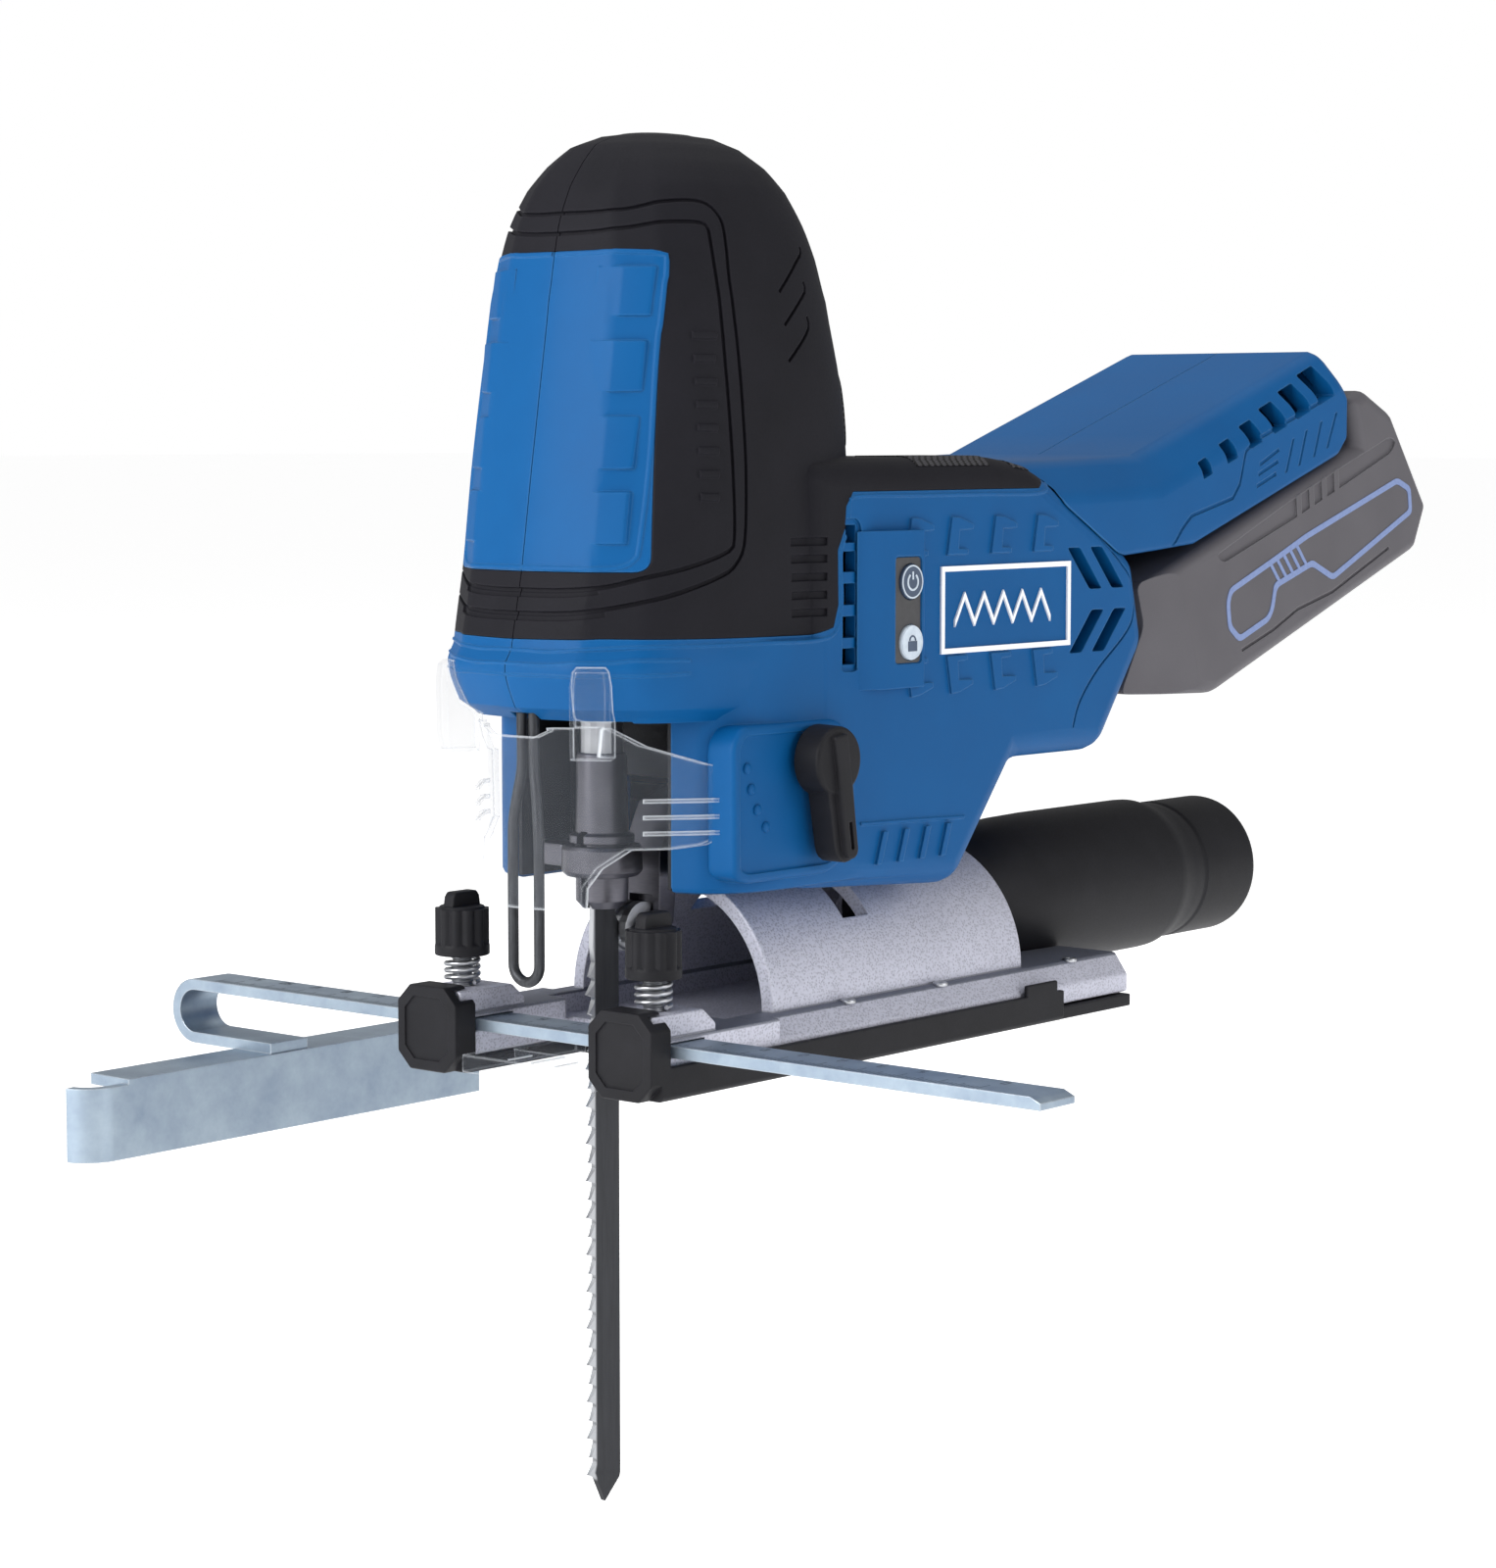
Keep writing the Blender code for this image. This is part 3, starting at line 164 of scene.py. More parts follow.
class Finish:
    """One material: a shader, the point being shaded, and a way to add nodes."""

    def __init__(self, name, **fixed):
        self.material = bpy.data.materials.new(name)
        self.material.use_nodes = True
        self.tree = self.material.node_tree
        self.tree.nodes.clear()
        self.shader = self.tree.nodes.new("ShaderNodeBsdfPrincipled")
        end = self.tree.nodes.new("ShaderNodeOutputMaterial")
        self.tree.links.new(self.shader.outputs[0], end.inputs["Surface"])
        self.point = self.node("ShaderNodeTexCoord", out="Object")
        self.set(**fixed)

    def node(self, kind, settings=None, sockets=None, out=0):
        made = self.tree.nodes.new(kind)
        for key, value in (settings or {}).items():
            setattr(made, key, value)
        for key, value in (sockets or {}).items():
            self.plug(made.inputs[key], value)
        return Val(self, made.outputs[out])

    def plug(self, socket, value):
        if isinstance(value, Val):
            self.tree.links.new(value.socket, socket)
        else:
            socket.default_value = value

    def set(self, **values):
        for key, value in values.items():
            self.plug(self.shader.inputs[key.replace("_", " ")], value)
        return self

    def axes(self):
        """The shaded point's x, y and z, in millimetres of the blade frame."""
        split = self.node("ShaderNodeSeparateXYZ", sockets={0: self.point}).socket.node
        x, y, z = (Val(self, s) * 1000.0 for s in split.outputs)
        return x, y + 61.0, z

    def stretched(self, x, y, z):
        return self.node("ShaderNodeVectorMath", {"operation": "MULTIPLY"},
                         {0: self.point, 1: (x, y, z)})

    def noise(self, size, detail=2.0, rough=0.5, at=None):
        """Smooth random 0 to 1, with features about size millimetres across."""
        return self.node("ShaderNodeTexNoise", {}, {
            "Vector": at or self.point, "Scale": 1000.0 / size, "Detail": detail,
            "Roughness": rough}, out="Fac")

    def cells(self, size, kind="F1"):
        return self.node("ShaderNodeTexVoronoi", {"feature": kind}, {
            "Vector": self.point, "Scale": 1000.0 / size}, out="Distance")

    def mix(self, share, a, b):
        made = self.tree.nodes.new("ShaderNodeMix")
        made.data_type = "RGBA"
        for socket, value in zip((made.inputs[0], made.inputs[6], made.inputs[7]), (share, a, b)):
            self.plug(socket, value)
        return Val(self, made.outputs[2])

    def edge(self, radius):
        """Normal as if every edge had been rounded to radius millimetres."""
        return self.node("ShaderNodeBevel", {"samples": 4}, {"Radius": radius * 0.001})

    def edge_wear_and_sheen(self, radius):
        """1 where the surface turns sharply, 0 on the flat: where handling rubs, and on the clear
        plastic a painted edge reflection.
        """
        soft = self.node("ShaderNodeVectorMath", {"operation": "DOT_PRODUCT"}, {
            0: self.edge(radius), 1: self.node("ShaderNodeNewGeometry", out="Normal")}, out="Value")
        return soft.over(0.97, 0.80)

    def bump(self, height, depth, normal=None, strength=1.0):
        """height is 0 to 1, and depth its size in millimetres."""
        sockets = {"Height": height, "Distance": depth * 0.001, "Strength": strength}
        if normal:
            sockets["Normal"] = normal
        return self.set(Normal=self.node("ShaderNodeBump", {}, sockets))


def put(x, y, z):
    return Vector((x, y - 61.0, z)) * 0.001


def solid(name, points, faces):
    """Closed mesh from points in millimetres, its faces turned outward."""
    mesh = bpy.data.meshes.new(name)
    mesh.from_pydata([put(*p) for p in points], [], faces)
    work = bmesh.new()
    work.from_mesh(mesh)
    bmesh.ops.recalc_face_normals(work, faces=work.faces)
    work.to_mesh(mesh)
    work.free()
    return hang(bpy.data.objects.new(name, mesh))


def loft(name, rings, caps=True):
    """Skin over rings of equal length, with its two ends closed."""
    count = len(rings[0])
    points = [p for ring in rings for p in ring]
    faces = []
    for r in range(len(rings) - 1):
        for k in range(count):
            n = (k + 1) % count
            faces.append((r * count + k, r * count + n, (r + 1) * count + n, (r + 1) * count + k))
    if caps:
        faces.append(tuple(range(count)))
        faces.append(tuple(range(len(points) - count, len(points))))
    return solid(name, points, faces)


def along(axis, a, b, c):
    """A point with c along axis, and a, b on the other two in order."""
    return {"x": (c, a, b), "y": (a, c, b), "z": (a, b, c)}[axis]


def prism(name, outline, axis, low, high):
    return loft(name, [[along(axis, a, b, c) for a, b in outline] for c in (low, high)])


def block(name, x, y, z):
    return prism(name, ((x[0], y[0]), (x[1], y[0]), (x[1], y[1]), (x[0], y[1])), "z", *z)


def arc(a, b, radius, count, start=0.0, sweep=360.0):
    last = count if abs(sweep) >= 360 else count - 1
    return [(a + radius * math.cos(math.radians(start + sweep * k / last)),
             b + radius * math.sin(math.radians(start + sweep * k / last))) for k in range(count)]


def turned(name, centre, steps, axis, count=40):
    """A solid turned about axis, from steps of (place along it, radius)."""
    return loft(name, [[along(axis, a, b, c) for a, b in arc(*centre, radius, count)]
                       for c, radius in steps])


def tube(name, centre, profile, axis, count=48):
    """A ring turned about axis, from a closed profile of (place along it, radius)."""
    rings = [[along(axis, a, b, c) for a, b in arc(*centre, radius, count)]
             for c, radius in list(profile) + [profile[0]]]
    made = loft(name, rings, caps=False)
    work = bmesh.new()
    work.from_mesh(made.data)
    bmesh.ops.remove_doubles(work, verts=work.verts, dist=1e-6)
    bmesh.ops.recalc_face_normals(work, faces=work.faces)
    work.to_mesh(made.data)
    work.free()
    return made


def settle(obj):
    """Works the object's modifiers into its mesh."""
    view = bpy.context.evaluated_depsgraph_get()
    mesh = bpy.data.meshes.new_from_object(obj.evaluated_get(view))
    obj.modifiers.clear()
    obj.data = mesh
    return obj


def combine(obj, how, tools):
    bpy.context.view_layer.update()
    for tool in tools:
        step = obj.modifiers.new("step", "BOOLEAN")
        step.operation, step.solver, step.object = how, "EXACT", tool
    settle(obj)
    for tool in tools:
        bpy.data.objects.remove(tool)
    return obj


def cut(obj, *tools):
    return combine(obj, "DIFFERENCE", tools)


def join(obj, *tools):
    return combine(obj, "UNION", tools)


def keep(obj, *tools):
    return combine(obj, "INTERSECT", tools)


def copy_of(obj, name):
    other = obj.copy()
    other.data = obj.data.copy()
    other.name = name
    return hang(other)


def eased(obj, width=0.35, angle=32.0, segments=2):
    """Rounds the object's sharp edges."""
    round_over = obj.modifiers.new("ease", "BEVEL")
    round_over.width, round_over.segments = width * 0.001, segments
    round_over.limit_method, round_over.angle_limit = "ANGLE", math.radians(angle)
    round_over.use_clamp_overlap = True
    return settle(obj)


def place(obj, finish, body, *nodes, slot=None, smooth=32.0):
    """Last steps for every piece: shading, finish, the body it rides on, the node it stands for."""
    obj.data.materials.clear()
    obj.data.materials.append(finish.material)
    obj.data.shade_smooth()
    obj.data.set_sharp_from_angle(angle=math.radians(smooth))
    even = obj.modifiers.new("even", "WEIGHTED_NORMAL")
    even.keep_sharp = True
    settle(obj)
    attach(obj, body)
    if nodes:
        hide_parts(*nodes)
    return obj


cast = Finish("shot_blasted_cast", Metallic=0.55)
height = cast.axes()[2]
# Painted shade: a dark band from about 11.7 to 13 mm up darkens the flat top of the flange,
# standing in for its dim reflection, and runs along the foot of the dome as a painted contact
# shadow.
painted_flange_shade = height.over(11.7, 12.05) - height.over(12.6, 13.0)
speck = cast.cells(0.6)
grain = cast.noise(0.4, 3.0, 0.7)
drift = cast.noise(14.0, 3.0, 0.6)
rub = cast.edge_wear_and_sheen(0.7)
pits = speck.over(0.15, 0.6) * 0.6 + grain * 0.4
cast_tone = cast.mix(pits * 0.8 + drift * 0.2, tint(140, 141, 154), tint(208, 209, 222))
cast_tone = cast.mix(painted_flange_shade * 0.8, cast_tone, tint(84, 89, 102))
cast.set(Base_Color=cast.mix(rub * 0.6, cast_tone, tint(214, 215, 222)),
         Roughness=0.46 + pits * 0.16 - rub * 0.12)
cast.bump(pits, 0.10, cast.edge(0.5), 0.55)

SHOE_HALF = 36.3
PLATE_EDGE = 34.5
PLATE_TOP = 12.5
TILT_Z = 12.3
DOME_R = 29.0
SLOT_Y = 57.0
PORT_Z = 24.4

section = ((-PLATE_EDGE, 3.3), (PLATE_EDGE, 3.3), (PLATE_EDGE, 7.6), (31.0, PLATE_TOP),
           (-31.0, PLATE_TOP), (-PLATE_EDGE, 7.6))
plate = eased(prism("sole_casting", section, "y", 12.4, 147.0), 0.6)
for side in (1, -1):
    lo, hi = sorted((side * 20.0, side * 34.4))
    join(plate, eased(block("prong", (lo, hi), (-22.7, 18.0), (3.35, 12.4)), 0.5))
    lo, hi = sorted((side * 20.6, side * 33.7))
    pad = ((-22.2, 8.0), (-2.0, 8.0), (-2.0, 14.0), (-6.0, 17.3), (-22.2, 17.3))
    join(plate, eased(prism("pad", pad, "x", lo, hi), 0.6))
join(plate, eased(prism("dome", arc(0.0, TILT_Z, DOME_R, 64, -8, 196), "y", 22.0, 112.0), 0.7, 50))
cut(plate, prism("bore", arc(0.0, TILT_Z, DOME_R - 3.2, 56, -10, 200), "y", 10.0, 108.5),
    prism("slot", arc(0.0, TILT_Z, DOME_R + 4, 24, 36, 108)
          + arc(0.0, TILT_Z, 12.0, 12, 144, -108), "y", SLOT_Y - 4.5, SLOT_Y + 4.5),
    block("rod_way", (-40, 40), (-18.6, -6.6), (8.4, 11.5)),
    turned("hole", (27.4, -14.5), ((10.0, 2.7), (20.0, 2.7)), "z", 24),
    turned("hole", (-27.4, -14.5), ((10.0, 2.7), (20.0, 2.7)), "z", 24),
    turned("pipe_way", (0.0, PORT_Z), ((100.0, 14.2), (119.0, 14.4), (123.0, 16.4), (130.0, 18.2),
                                       (155.5, 19.4), (160.0, 19.4)), "y", 48))
place(plate, cast, "base", "sole_plate", slot="cast_silver")

# ---------------------------------------------------------------- glide shoe
# Black acetal shoe clipped under and round the cast sole so that the work isn't scratched:
# an octagonal cap over each prong, a low lip down each side, a catch and a rear rim.

moulded = Finish("black_plastic", Specular_IOR_Level=0.16)
fine = moulded.noise(0.45, 3.0, 0.65)
haze = moulded.noise(9.0, 2.0, 0.5)
rub = moulded.edge_wear_and_sheen(0.5)
moulded.set(Base_Color=moulded.mix(haze * 0.6 + rub * 0.5, tint(18, 18, 21), tint(40, 40, 45)),
            Roughness=0.42 + fine * 0.16 + haze * 0.06 - rub * 0.1)
moulded.bump(fine, 0.035, moulded.edge(0.4), 0.5)

SHOE_WALL = 1.5
CAP_TOP = 18.3
section = ((-SHOE_HALF, 0.8), (-SHOE_HALF + 0.8, 0.0), (SHOE_HALF - 0.8, 0.0), (SHOE_HALF, 0.8),
           (SHOE_HALF, 7.0), (SHOE_HALF - SHOE_WALL, 7.0), (SHOE_HALF - SHOE_WALL, 3.0),
           (-SHOE_HALF + SHOE_WALL, 3.0), (-SHOE_HALF + SHOE_WALL, 7.0), (-SHOE_HALF, 7.0))
shoe = eased(prism("glide_shoe_moulding", section, "y", -22.0, 118.6), 0.35)
cut(shoe, block("blade_gap", (-19.3, 19.3), (-40, 14.0), (-5, 20)))
for side in (1, -1):
    a, b, low, top, c = 18.9, SHOE_HALF, 0.0, CAP_TOP, 3.6
    outline = ((a + c, low), (b - c, low), (b, low + c), (b, top - c), (b - c, top), (a + c, top),
               (a, top - c), (a, low + c))
    cap = prism("cap", [(side * x, z) for x, z in outline], "y", -25.4, -19.0)
    cap = eased(cap, 0.5)
    inner = [(side * (27.6 + (x - 27.6) * 0.74), 9.15 + (z - 9.15) * 0.74) for x, z in outline]
    cut(cap, prism("dish", inner, "y", -26.0, -24.9),
        block("prong_way", sorted((side * 19.7, side * 34.8)), (-23.0, -10.0), (3.0, 17.6)))
    join(shoe, cap, eased(block("catch", sorted((side * 35.2, side * 36.3)), (104.0, 116.0),
                                (5.0, 9.6)), 0.4))
rim = ((-35.7, 0.1), (35.7, 0.1), (35.7, 2.95), (-35.7, 2.95))
join(shoe, eased(prism("rear_rim", rim, "y", 116.6, 146.5), 0.3))
place(shoe, moulded, "base", "glide_shoe", slot="black_plastic")

# ---------------------------------------------------------------- screws and sight insert
# Steel cap screws, three in each flange, hold the sole's casting.  A clear moulded insert clips
# between the prongs, with three sighting lines cut in its top.

SCREW_Y = (45.0, 78.0, 128.0)
plated = Finish("bright_steel", Metallic=1.0)
lines = plated.noise(0.5, 3.0, 0.6, plated.stretched(1.0, 0.12, 1.0))
smear = plated.noise(6.0, 2.0, 0.5)
plated.set(Base_Color=plated.mix(smear, tint(150, 152, 156), tint(206, 208, 212)),
           Roughness=0.24 + lines * 0.18 + smear * 0.08)
plated.bump(lines, 0.02, plated.edge(0.25), 0.4)
for number, y in enumerate(SCREW_Y):
    for side, word in ((1, "left"), (-1, "right")):
        head = eased(turned("sole_screw_%s_%d" % (word, number), (side * 31.0, y),
                            ((12.1, 1.7), (13.0, 1.7)), "z", 24), 0.25)
        cut(head, turned("socket", (side * 31.0, y), ((12.55, 0.85), (13.6, 0.85)), "z", 6))
        place(head, plated, "base", slot="bright_steel")

clear = Finish("clear_plastic", IOR=1.49)
scuff = clear.noise(3.0, 4.0, 0.7).over(0.45, 0.8)
# Painted reflection: the sharp edges of the clear plastic are whitened and made more opaque,
# standing in for the glare it shows at grazing angles.
rim_light = clear.edge_wear_and_sheen(0.9)
clear.set(Base_Color=clear.mix(rim_light, tint(118, 124, 134), tint(236, 241, 247)),
          Roughness=0.05 + scuff * 0.12, Alpha=0.07 + rim_light * 0.5 + scuff * 0.03)
clear.bump(scuff, 0.05, clear.edge(0.5), 0.4)

half = 18.9
outline = ((-half, -23.6), (half, -23.6), (half, 12.0), (half - 3.2, 12.0), (half - 3.2, -11.0),
           (-half + 3.2, -11.0), (-half + 3.2, 12.0), (-half, 12.0))
sight = eased(prism("sight_insert_moulding", outline, "z", 0.4, 4.4), 0.4)
cut(sight, block("mark", (-0.3, 0.3), (-22.0, -12.0), (4.1, 5.0)),
    block("mark", (6.4, 6.9), (-22.0, -15.0), (4.1, 5.0)),
    block("mark", (-6.9, -6.4), (-22.0, -15.0), (4.1, 5.0)))
place(sight, clear, "base", "sight_insert", slot="clear_plastic")

# ---------------------------------------------------------------- rip fence
# One zinc-plated steel strip, bent back under itself at the right end, with a pressed guide plate
# spot-welded below.  A millimetre scale is rolled into the top of the strip.

zinc = Finish("zinc_steel", Metallic=0.86)
cloud = zinc.noise(11.0, 4.0, 0.65)
tooth = zinc.noise(0.7, 2.0, 0.6)
rub = zinc.edge_wear_and_sheen(0.5)
sheen = zinc.mix(cloud, tint(110, 126, 148), tint(176, 190, 200))
zinc.set(Base_Color=zinc.mix(rub * 0.7, sheen, tint(214, 220, 222)),
         Roughness=0.34 + tooth * 0.14 + cloud * 0.10 - rub * 0.1)
zinc.bump(tooth * 0.6 + cloud * 0.4, 0.05, zinc.edge(0.4), 0.4)

ROD_FRONT, ROD_BACK = -18.2, -7.0
ROD_BOTTOM, ROD_THICK = 8.7, 2.5
ROD_LEFT, ROD_RIGHT = 127.4, -109.5
LEG_TOP = -1.0
FENCE_X = -86.0
mid = (ROD_BOTTOM + LEG_TOP) / 2
inner = (ROD_BOTTOM - LEG_TOP) / 2
outer = inner + ROD_THICK
path = [(ROD_LEFT - 2.5, ROD_BOTTOM + ROD_THICK), (ROD_RIGHT, ROD_BOTTOM + ROD_THICK)]
path += arc(ROD_RIGHT, mid, outer, 24, 90, 180)[1:]
path += [(-84.0, mid - outer), (-84.0, mid - inner)]
path += arc(ROD_RIGHT, mid, inner, 20, 270, -180)
path += [(ROD_LEFT, ROD_BOTTOM), (ROD_LEFT, ROD_BOTTOM + 1.4)]
strip = prism("fence_strip", path, "y", ROD_FRONT, ROD_BACK)
top = mid - outer + 0.1
plate = [(FENCE_X, 48.0), (FENCE_X + 2.5, 48.0), (FENCE_X + 2.5, -64.0)]
plate += arc(FENCE_X - 5.5, -64.0, 8.0, 16, 0, -80)
plate += arc(FENCE_X - 5.5, -64.0, 5.5, 16, -80, 80)
join(strip, prism("plate", plate, "z", -20.7, top - 1.2),
     block("flange", (FENCE_X - 10.0, FENCE_X + 2.5), (-60.0, 48.0), (top - 2.5, top)))
cut(strip, block("notch", (FENCE_X - 12.0, FENCE_X - 5.0), (38.0, 50.0), (top - 4.0, top + 2.0)))
eased(strip, 0.4, 40)
place(strip, zinc, "fence", "fence", slot="zinc_steel")

ink = Finish("dark_ink", Roughness=0.6)
ink.set(Base_Color=ink.mix(ink.noise(0.6), tint(38, 44, 54), tint(66, 74, 86)))
STROKES = {"0": ("abcdef",), "1": ("bc",), "2": ("abged",), "3": ("abgcd",), "4": ("fgbc",),
           "5": ("afgcd",), "6": ("afgedc",), "7": ("abc",), "8": ("abcdefg",), "9": ("abcdfg",)}
BARS = {"a": (0, 2, 1, 2), "b": (1, 1, 1, 2), "c": (1, 0, 1, 1), "d": (0, 0, 1, 0),
        "e": (0, 0, 0, 1), "f": (0, 1, 0, 2), "g": (0, 1, 1, 1)}
high = ROD_BOTTOM + ROD_THICK + 0.03
quads = []


def mark(x0, x1, y0, y1):
    quads.append([(x0, y0, high), (x1, y0, high), (x1, y1, high), (x0, y1, high)])


for step in range(0, 225):
    x = 112.0 - step
    if not -104.0 < x < 124.0:
        continue
    length = 4.4 if step % 10 == 0 else 3.1 if step % 5 == 0 else 1.9
    mark(x - 0.11, x + 0.11, ROD_FRONT + 0.7, ROD_FRONT + 0.7 + length)
    if step % 10 == 0:
        for place_of, digit in enumerate(str(step // 10)):
            left = x + 1.6 - place_of * 1.7
            for bar in STROKES[digit][0]:
                a, b, c, d = BARS[bar]
                xs = sorted((left - a * 1.1, left - c * 1.1))
                ys = sorted((ROD_BACK - 1.0 - 2.6 + b * 1.1, ROD_BACK - 1.0 - 2.6 + d * 1.1))
                mark(xs[0] - 0.13, xs[1] + 0.13, ys[0] - 0.13, ys[1] + 0.13)
scale = solid("fence_scale", [p for q in quads for p in q],
              [tuple(range(4 * k, 4 * k + 4)) for k in range(len(quads))])
place(scale, ink, "fence", slot="zinc_steel")

# ---------------------------------------------------------------- fence knobs
# Black wing knobs on steel studs clamp the strip.  Each has a fluted skirt, a raised wing and a
# light coil spring below that keeps it from rattling loose.


def wire(name, path, radius, ring=12, closed=False):
    """Round wire bent along a path, its ends closed."""
    curve = bpy.data.curves.new(name, "CURVE")
    curve.dimensions = "3D"
    curve.bevel_depth = radius * 0.001
    curve.bevel_resolution = ring // 4
    curve.use_fill_caps = True
    line = curve.splines.new("POLY")
    line.use_cyclic_u = closed
    line.points.add(len(path) - 1)
    for dot, p in zip(line.points, path):
        dot.co = (*put(*p), 1.0)
    bent = hang(bpy.data.objects.new(name, curve))
    bpy.context.view_layer.update()
    mesh = bpy.data.meshes.new_from_object(
        bent.evaluated_get(bpy.context.evaluated_depsgraph_get()))
    bpy.data.objects.remove(bent)
    return hang(bpy.data.objects.new(name, mesh))


KNOB_X, KNOB_Y = 27.4, -14.5
for side, word in ((1, "left"), (-1, "right")):
    x = side * KNOB_X
    flutes = []
    for k in range(72):
        turn = math.radians(5 * k)
        reach = 5.9 - 0.6 * (0.5 - 0.5 * math.cos(12 * turn)) ** 2
        flutes.append((x + reach * math.cos(turn), KNOB_Y + reach * math.sin(turn)))
    knob = prism("wing_knob_" + word, flutes, "z", 26.0, 34.0)
    join(knob, eased(turned("skirt", (x, KNOB_Y), ((24.0, 5.9), (26.2, 5.9), (26.8, 5.4)), "z", 48),
                     0.3),
         eased(turned("crown", (x, KNOB_Y), ((33.5, 5.2), (34.6, 4.8)), "z", 48), 0.4))
    wing = ((KNOB_Y - 4.4, 33.8), (KNOB_Y + 4.4, 33.8), (KNOB_Y + 4.0, 36.6), (KNOB_Y + 3.2, 37.7),
            (KNOB_Y - 3.2, 37.7), (KNOB_Y - 4.0, 36.6))
    join(knob, eased(prism("wing", wing, "x", x - 1.5, x + 1.5), 0.45))
    cut(knob, turned("bore", (x, KNOB_Y), ((20.0, 2.7), (32.0, 2.7)), "z", 24))
    place(knob, moulded, "knob_" + word, "knob_" + word, slot="black_plastic")
    stud = [(11.6, 2.0)]
    for k in range(40):
        stud.append((11.9 + 0.5 * k, 2.4 if k % 2 else 2.05))
    place(turned("threaded_stud_" + word, (x, KNOB_Y), stud, "z", 28), plated, "knob_" + word,
          "stud_" + word, slot="bright_steel", smooth=60)
    coil = [(x + 3.5 * math.cos(k / 24 * 2 * math.pi),
             KNOB_Y + 3.5 * math.sin(k / 24 * 2 * math.pi), 18.2 + 5.2 * k / 84)
            for k in range(85)]
    place(wire("coil_spring_" + word, coil, 0.5), plated, "base", "knob_spring_" + word,
          slot="bright_steel", smooth=60)

# ---------------------------------------------------------------- dust pipe
# Matt black moulded pipe pushed into the back of the dome, stepped for a vacuum hose, with a
# rolled lip.

shell = ((98.0, 13.2), (119.0, 13.8), (123.0, 15.8), (130.0, 17.6), (142.0, 18.5), (155.0, 18.8),
         (194.0, 18.8), (196.5, 18.7), (199.5, 17.6), (203.0, 17.4), (206.0, 17.2), (206.6, 17.0),
         (207.6, 17.0), (208.2, 17.3), (228.4, 17.3), (229.4, 17.1), (230.0, 16.6))
profile = list(shell) + [(y, r - 2.2) for y, r in reversed(shell)]
pipe = tube("dust_pipe", (0.0, PORT_Z), profile, "y", 96)
place(pipe, moulded, "dust_port", "dust_port", slot="black_plastic", smooth=38)

# ---------------------------------------------------------------- housing shells
# Two clamshell halves moulded in blue glass-filled nylon, with a fine spark-eroded skin.  They
# split down the middle, carry the motor and the drive, and are held by five screws on the right.

shell_blue = Finish("blue_plastic", Specular_IOR_Level=0.14)
fine = shell_blue.noise(0.38, 3.0, 0.7)
haze = shell_blue.noise(22.0, 3.0, 0.6)
rub = shell_blue.edge_wear_and_sheen(0.6)
body_tone = shell_blue.mix(haze * 0.5 + fine * 0.3, tint(0, 70, 124), tint(5, 88, 146))
shell_blue.set(Base_Color=shell_blue.mix(rub * 0.45, body_tone, tint(66, 128, 184)),
               Roughness=0.38 + fine * 0.14 + haze * 0.06 - rub * 0.08)
shell_blue.bump(fine, 0.035, shell_blue.edge(0.5), 0.5)

COLUMN = ((76, -22.0, 60.0, 32.0), (79, -26.5, 61.0, 34.0), (87, -29.5, 62.0, 35.2),
          (91, -27.5, 62.0, 35.2), (107, -24.3, 61.0, 34.9), (127, -21.3, 59.5, 34.3),
          (145, -18.4, 57.5, 33.3), (163, -15.6, 53.5, 31.3), (172, -13.9, 51.0, 29.5),
          (179, -12.2, 48.5, 27.2), (186, -9.0, 45.0, 23.8), (191, -5.2, 41.0, 19.8),
          (195, -1.0, 36.0, 14.8), (197.2, 5.0, 31.0, 9.8), (198, 10.0, 26.0, 5.5))
SIDE, ROUND, SKIN, WALL = 36.5, 6.0, 1.6, 3.6
CREASE, SHOULDER = 15.8, 25.6


def flow(rows, steps):
    """Extra rows on a smooth curve through the given ones."""
    out = []
    for k in range(len(rows) - 1):
        a, b, c, d = (rows[min(max(k + j, 0), len(rows) - 1)] for j in (-1, 0, 1, 2))
        for s in range(steps):
            t = s / steps
            out.append(tuple(
                0.5 * (2 * q + (r - p) * t + (2 * p - 5 * q + 4 * r - w) * t * t
                       + (3 * q - p - 3 * r + w) * t ** 3) if j else q + (r - q) * t
                for j, (p, q, r, w) in enumerate(zip(a, b, c, d))))
    return out + [rows[-1]]


def oval(z, front, rear, half, power=2.6, count=120):
    """One level of the column: a squared oval with two flats and a crease across its front."""
    mid, reach = (front + rear) / 2, (rear - front) / 2

    def sag(x):
        return reach * (1 - max(0.0, 1 - abs(x / half) ** power) ** (1 / power))

    crease, shoulder = CREASE * half / 33.5, SHOULDER * half / 33.5
    ring = []
    for k in range(count):
        turn = 2 * math.pi * (k + 0.5) / count
        c, s = math.cos(turn), math.sin(turn)
        x = half * math.copysign(abs(c) ** (2 / power), c)
        y = mid + reach * math.copysign(abs(s) ** (2 / power), s)
        if s < 0 and abs(x) < shoulder:
            if abs(x) > crease:
                share = (abs(x) - crease) / (shoulder - crease)
                y = front + sag(crease) + (sag(shoulder) - sag(crease)) * share
            else:
                y = front + sag(crease) * (abs(x) / crease) ** 1.5
        ring.append((x, y, z))
    return ring


def column(depth, name="column", count=120):
    rings = []
    for z, front, rear, half in flow(COLUMN, 4):
        level = 76 + depth + (z - 76) * (122 - 2 * depth) / 122
        trim = min(depth, half * 0.7)
        rings.append(oval(level, front + trim, rear - trim, half - trim, count=count))
    return loft(name, rings)


def inset(outline, distance):
    """The outline moved inward by distance, corner by corner."""
    area = sum(a[0] * b[1] - b[0] * a[1]
               for a, b in zip(outline, outline[1:] + outline[:1]))
    turn = 1 if area > 0 else -1
    out = []
    for k, here in enumerate(outline):
        before, after = Vector(outline[k - 1]), Vector(outline[(k + 1) % len(outline)])
        here = Vector(here)
        first, second = (here - before).normalized(), (after - here).normalized()
        normal_a = Vector((-first.y, first.x)) * turn
        normal_b = Vector((-second.y, second.x)) * turn
        bisector = (normal_a + normal_b).normalized()
        out.append(tuple(here + bisector * (distance / max(bisector.dot(normal_a), 0.3))))
    return out


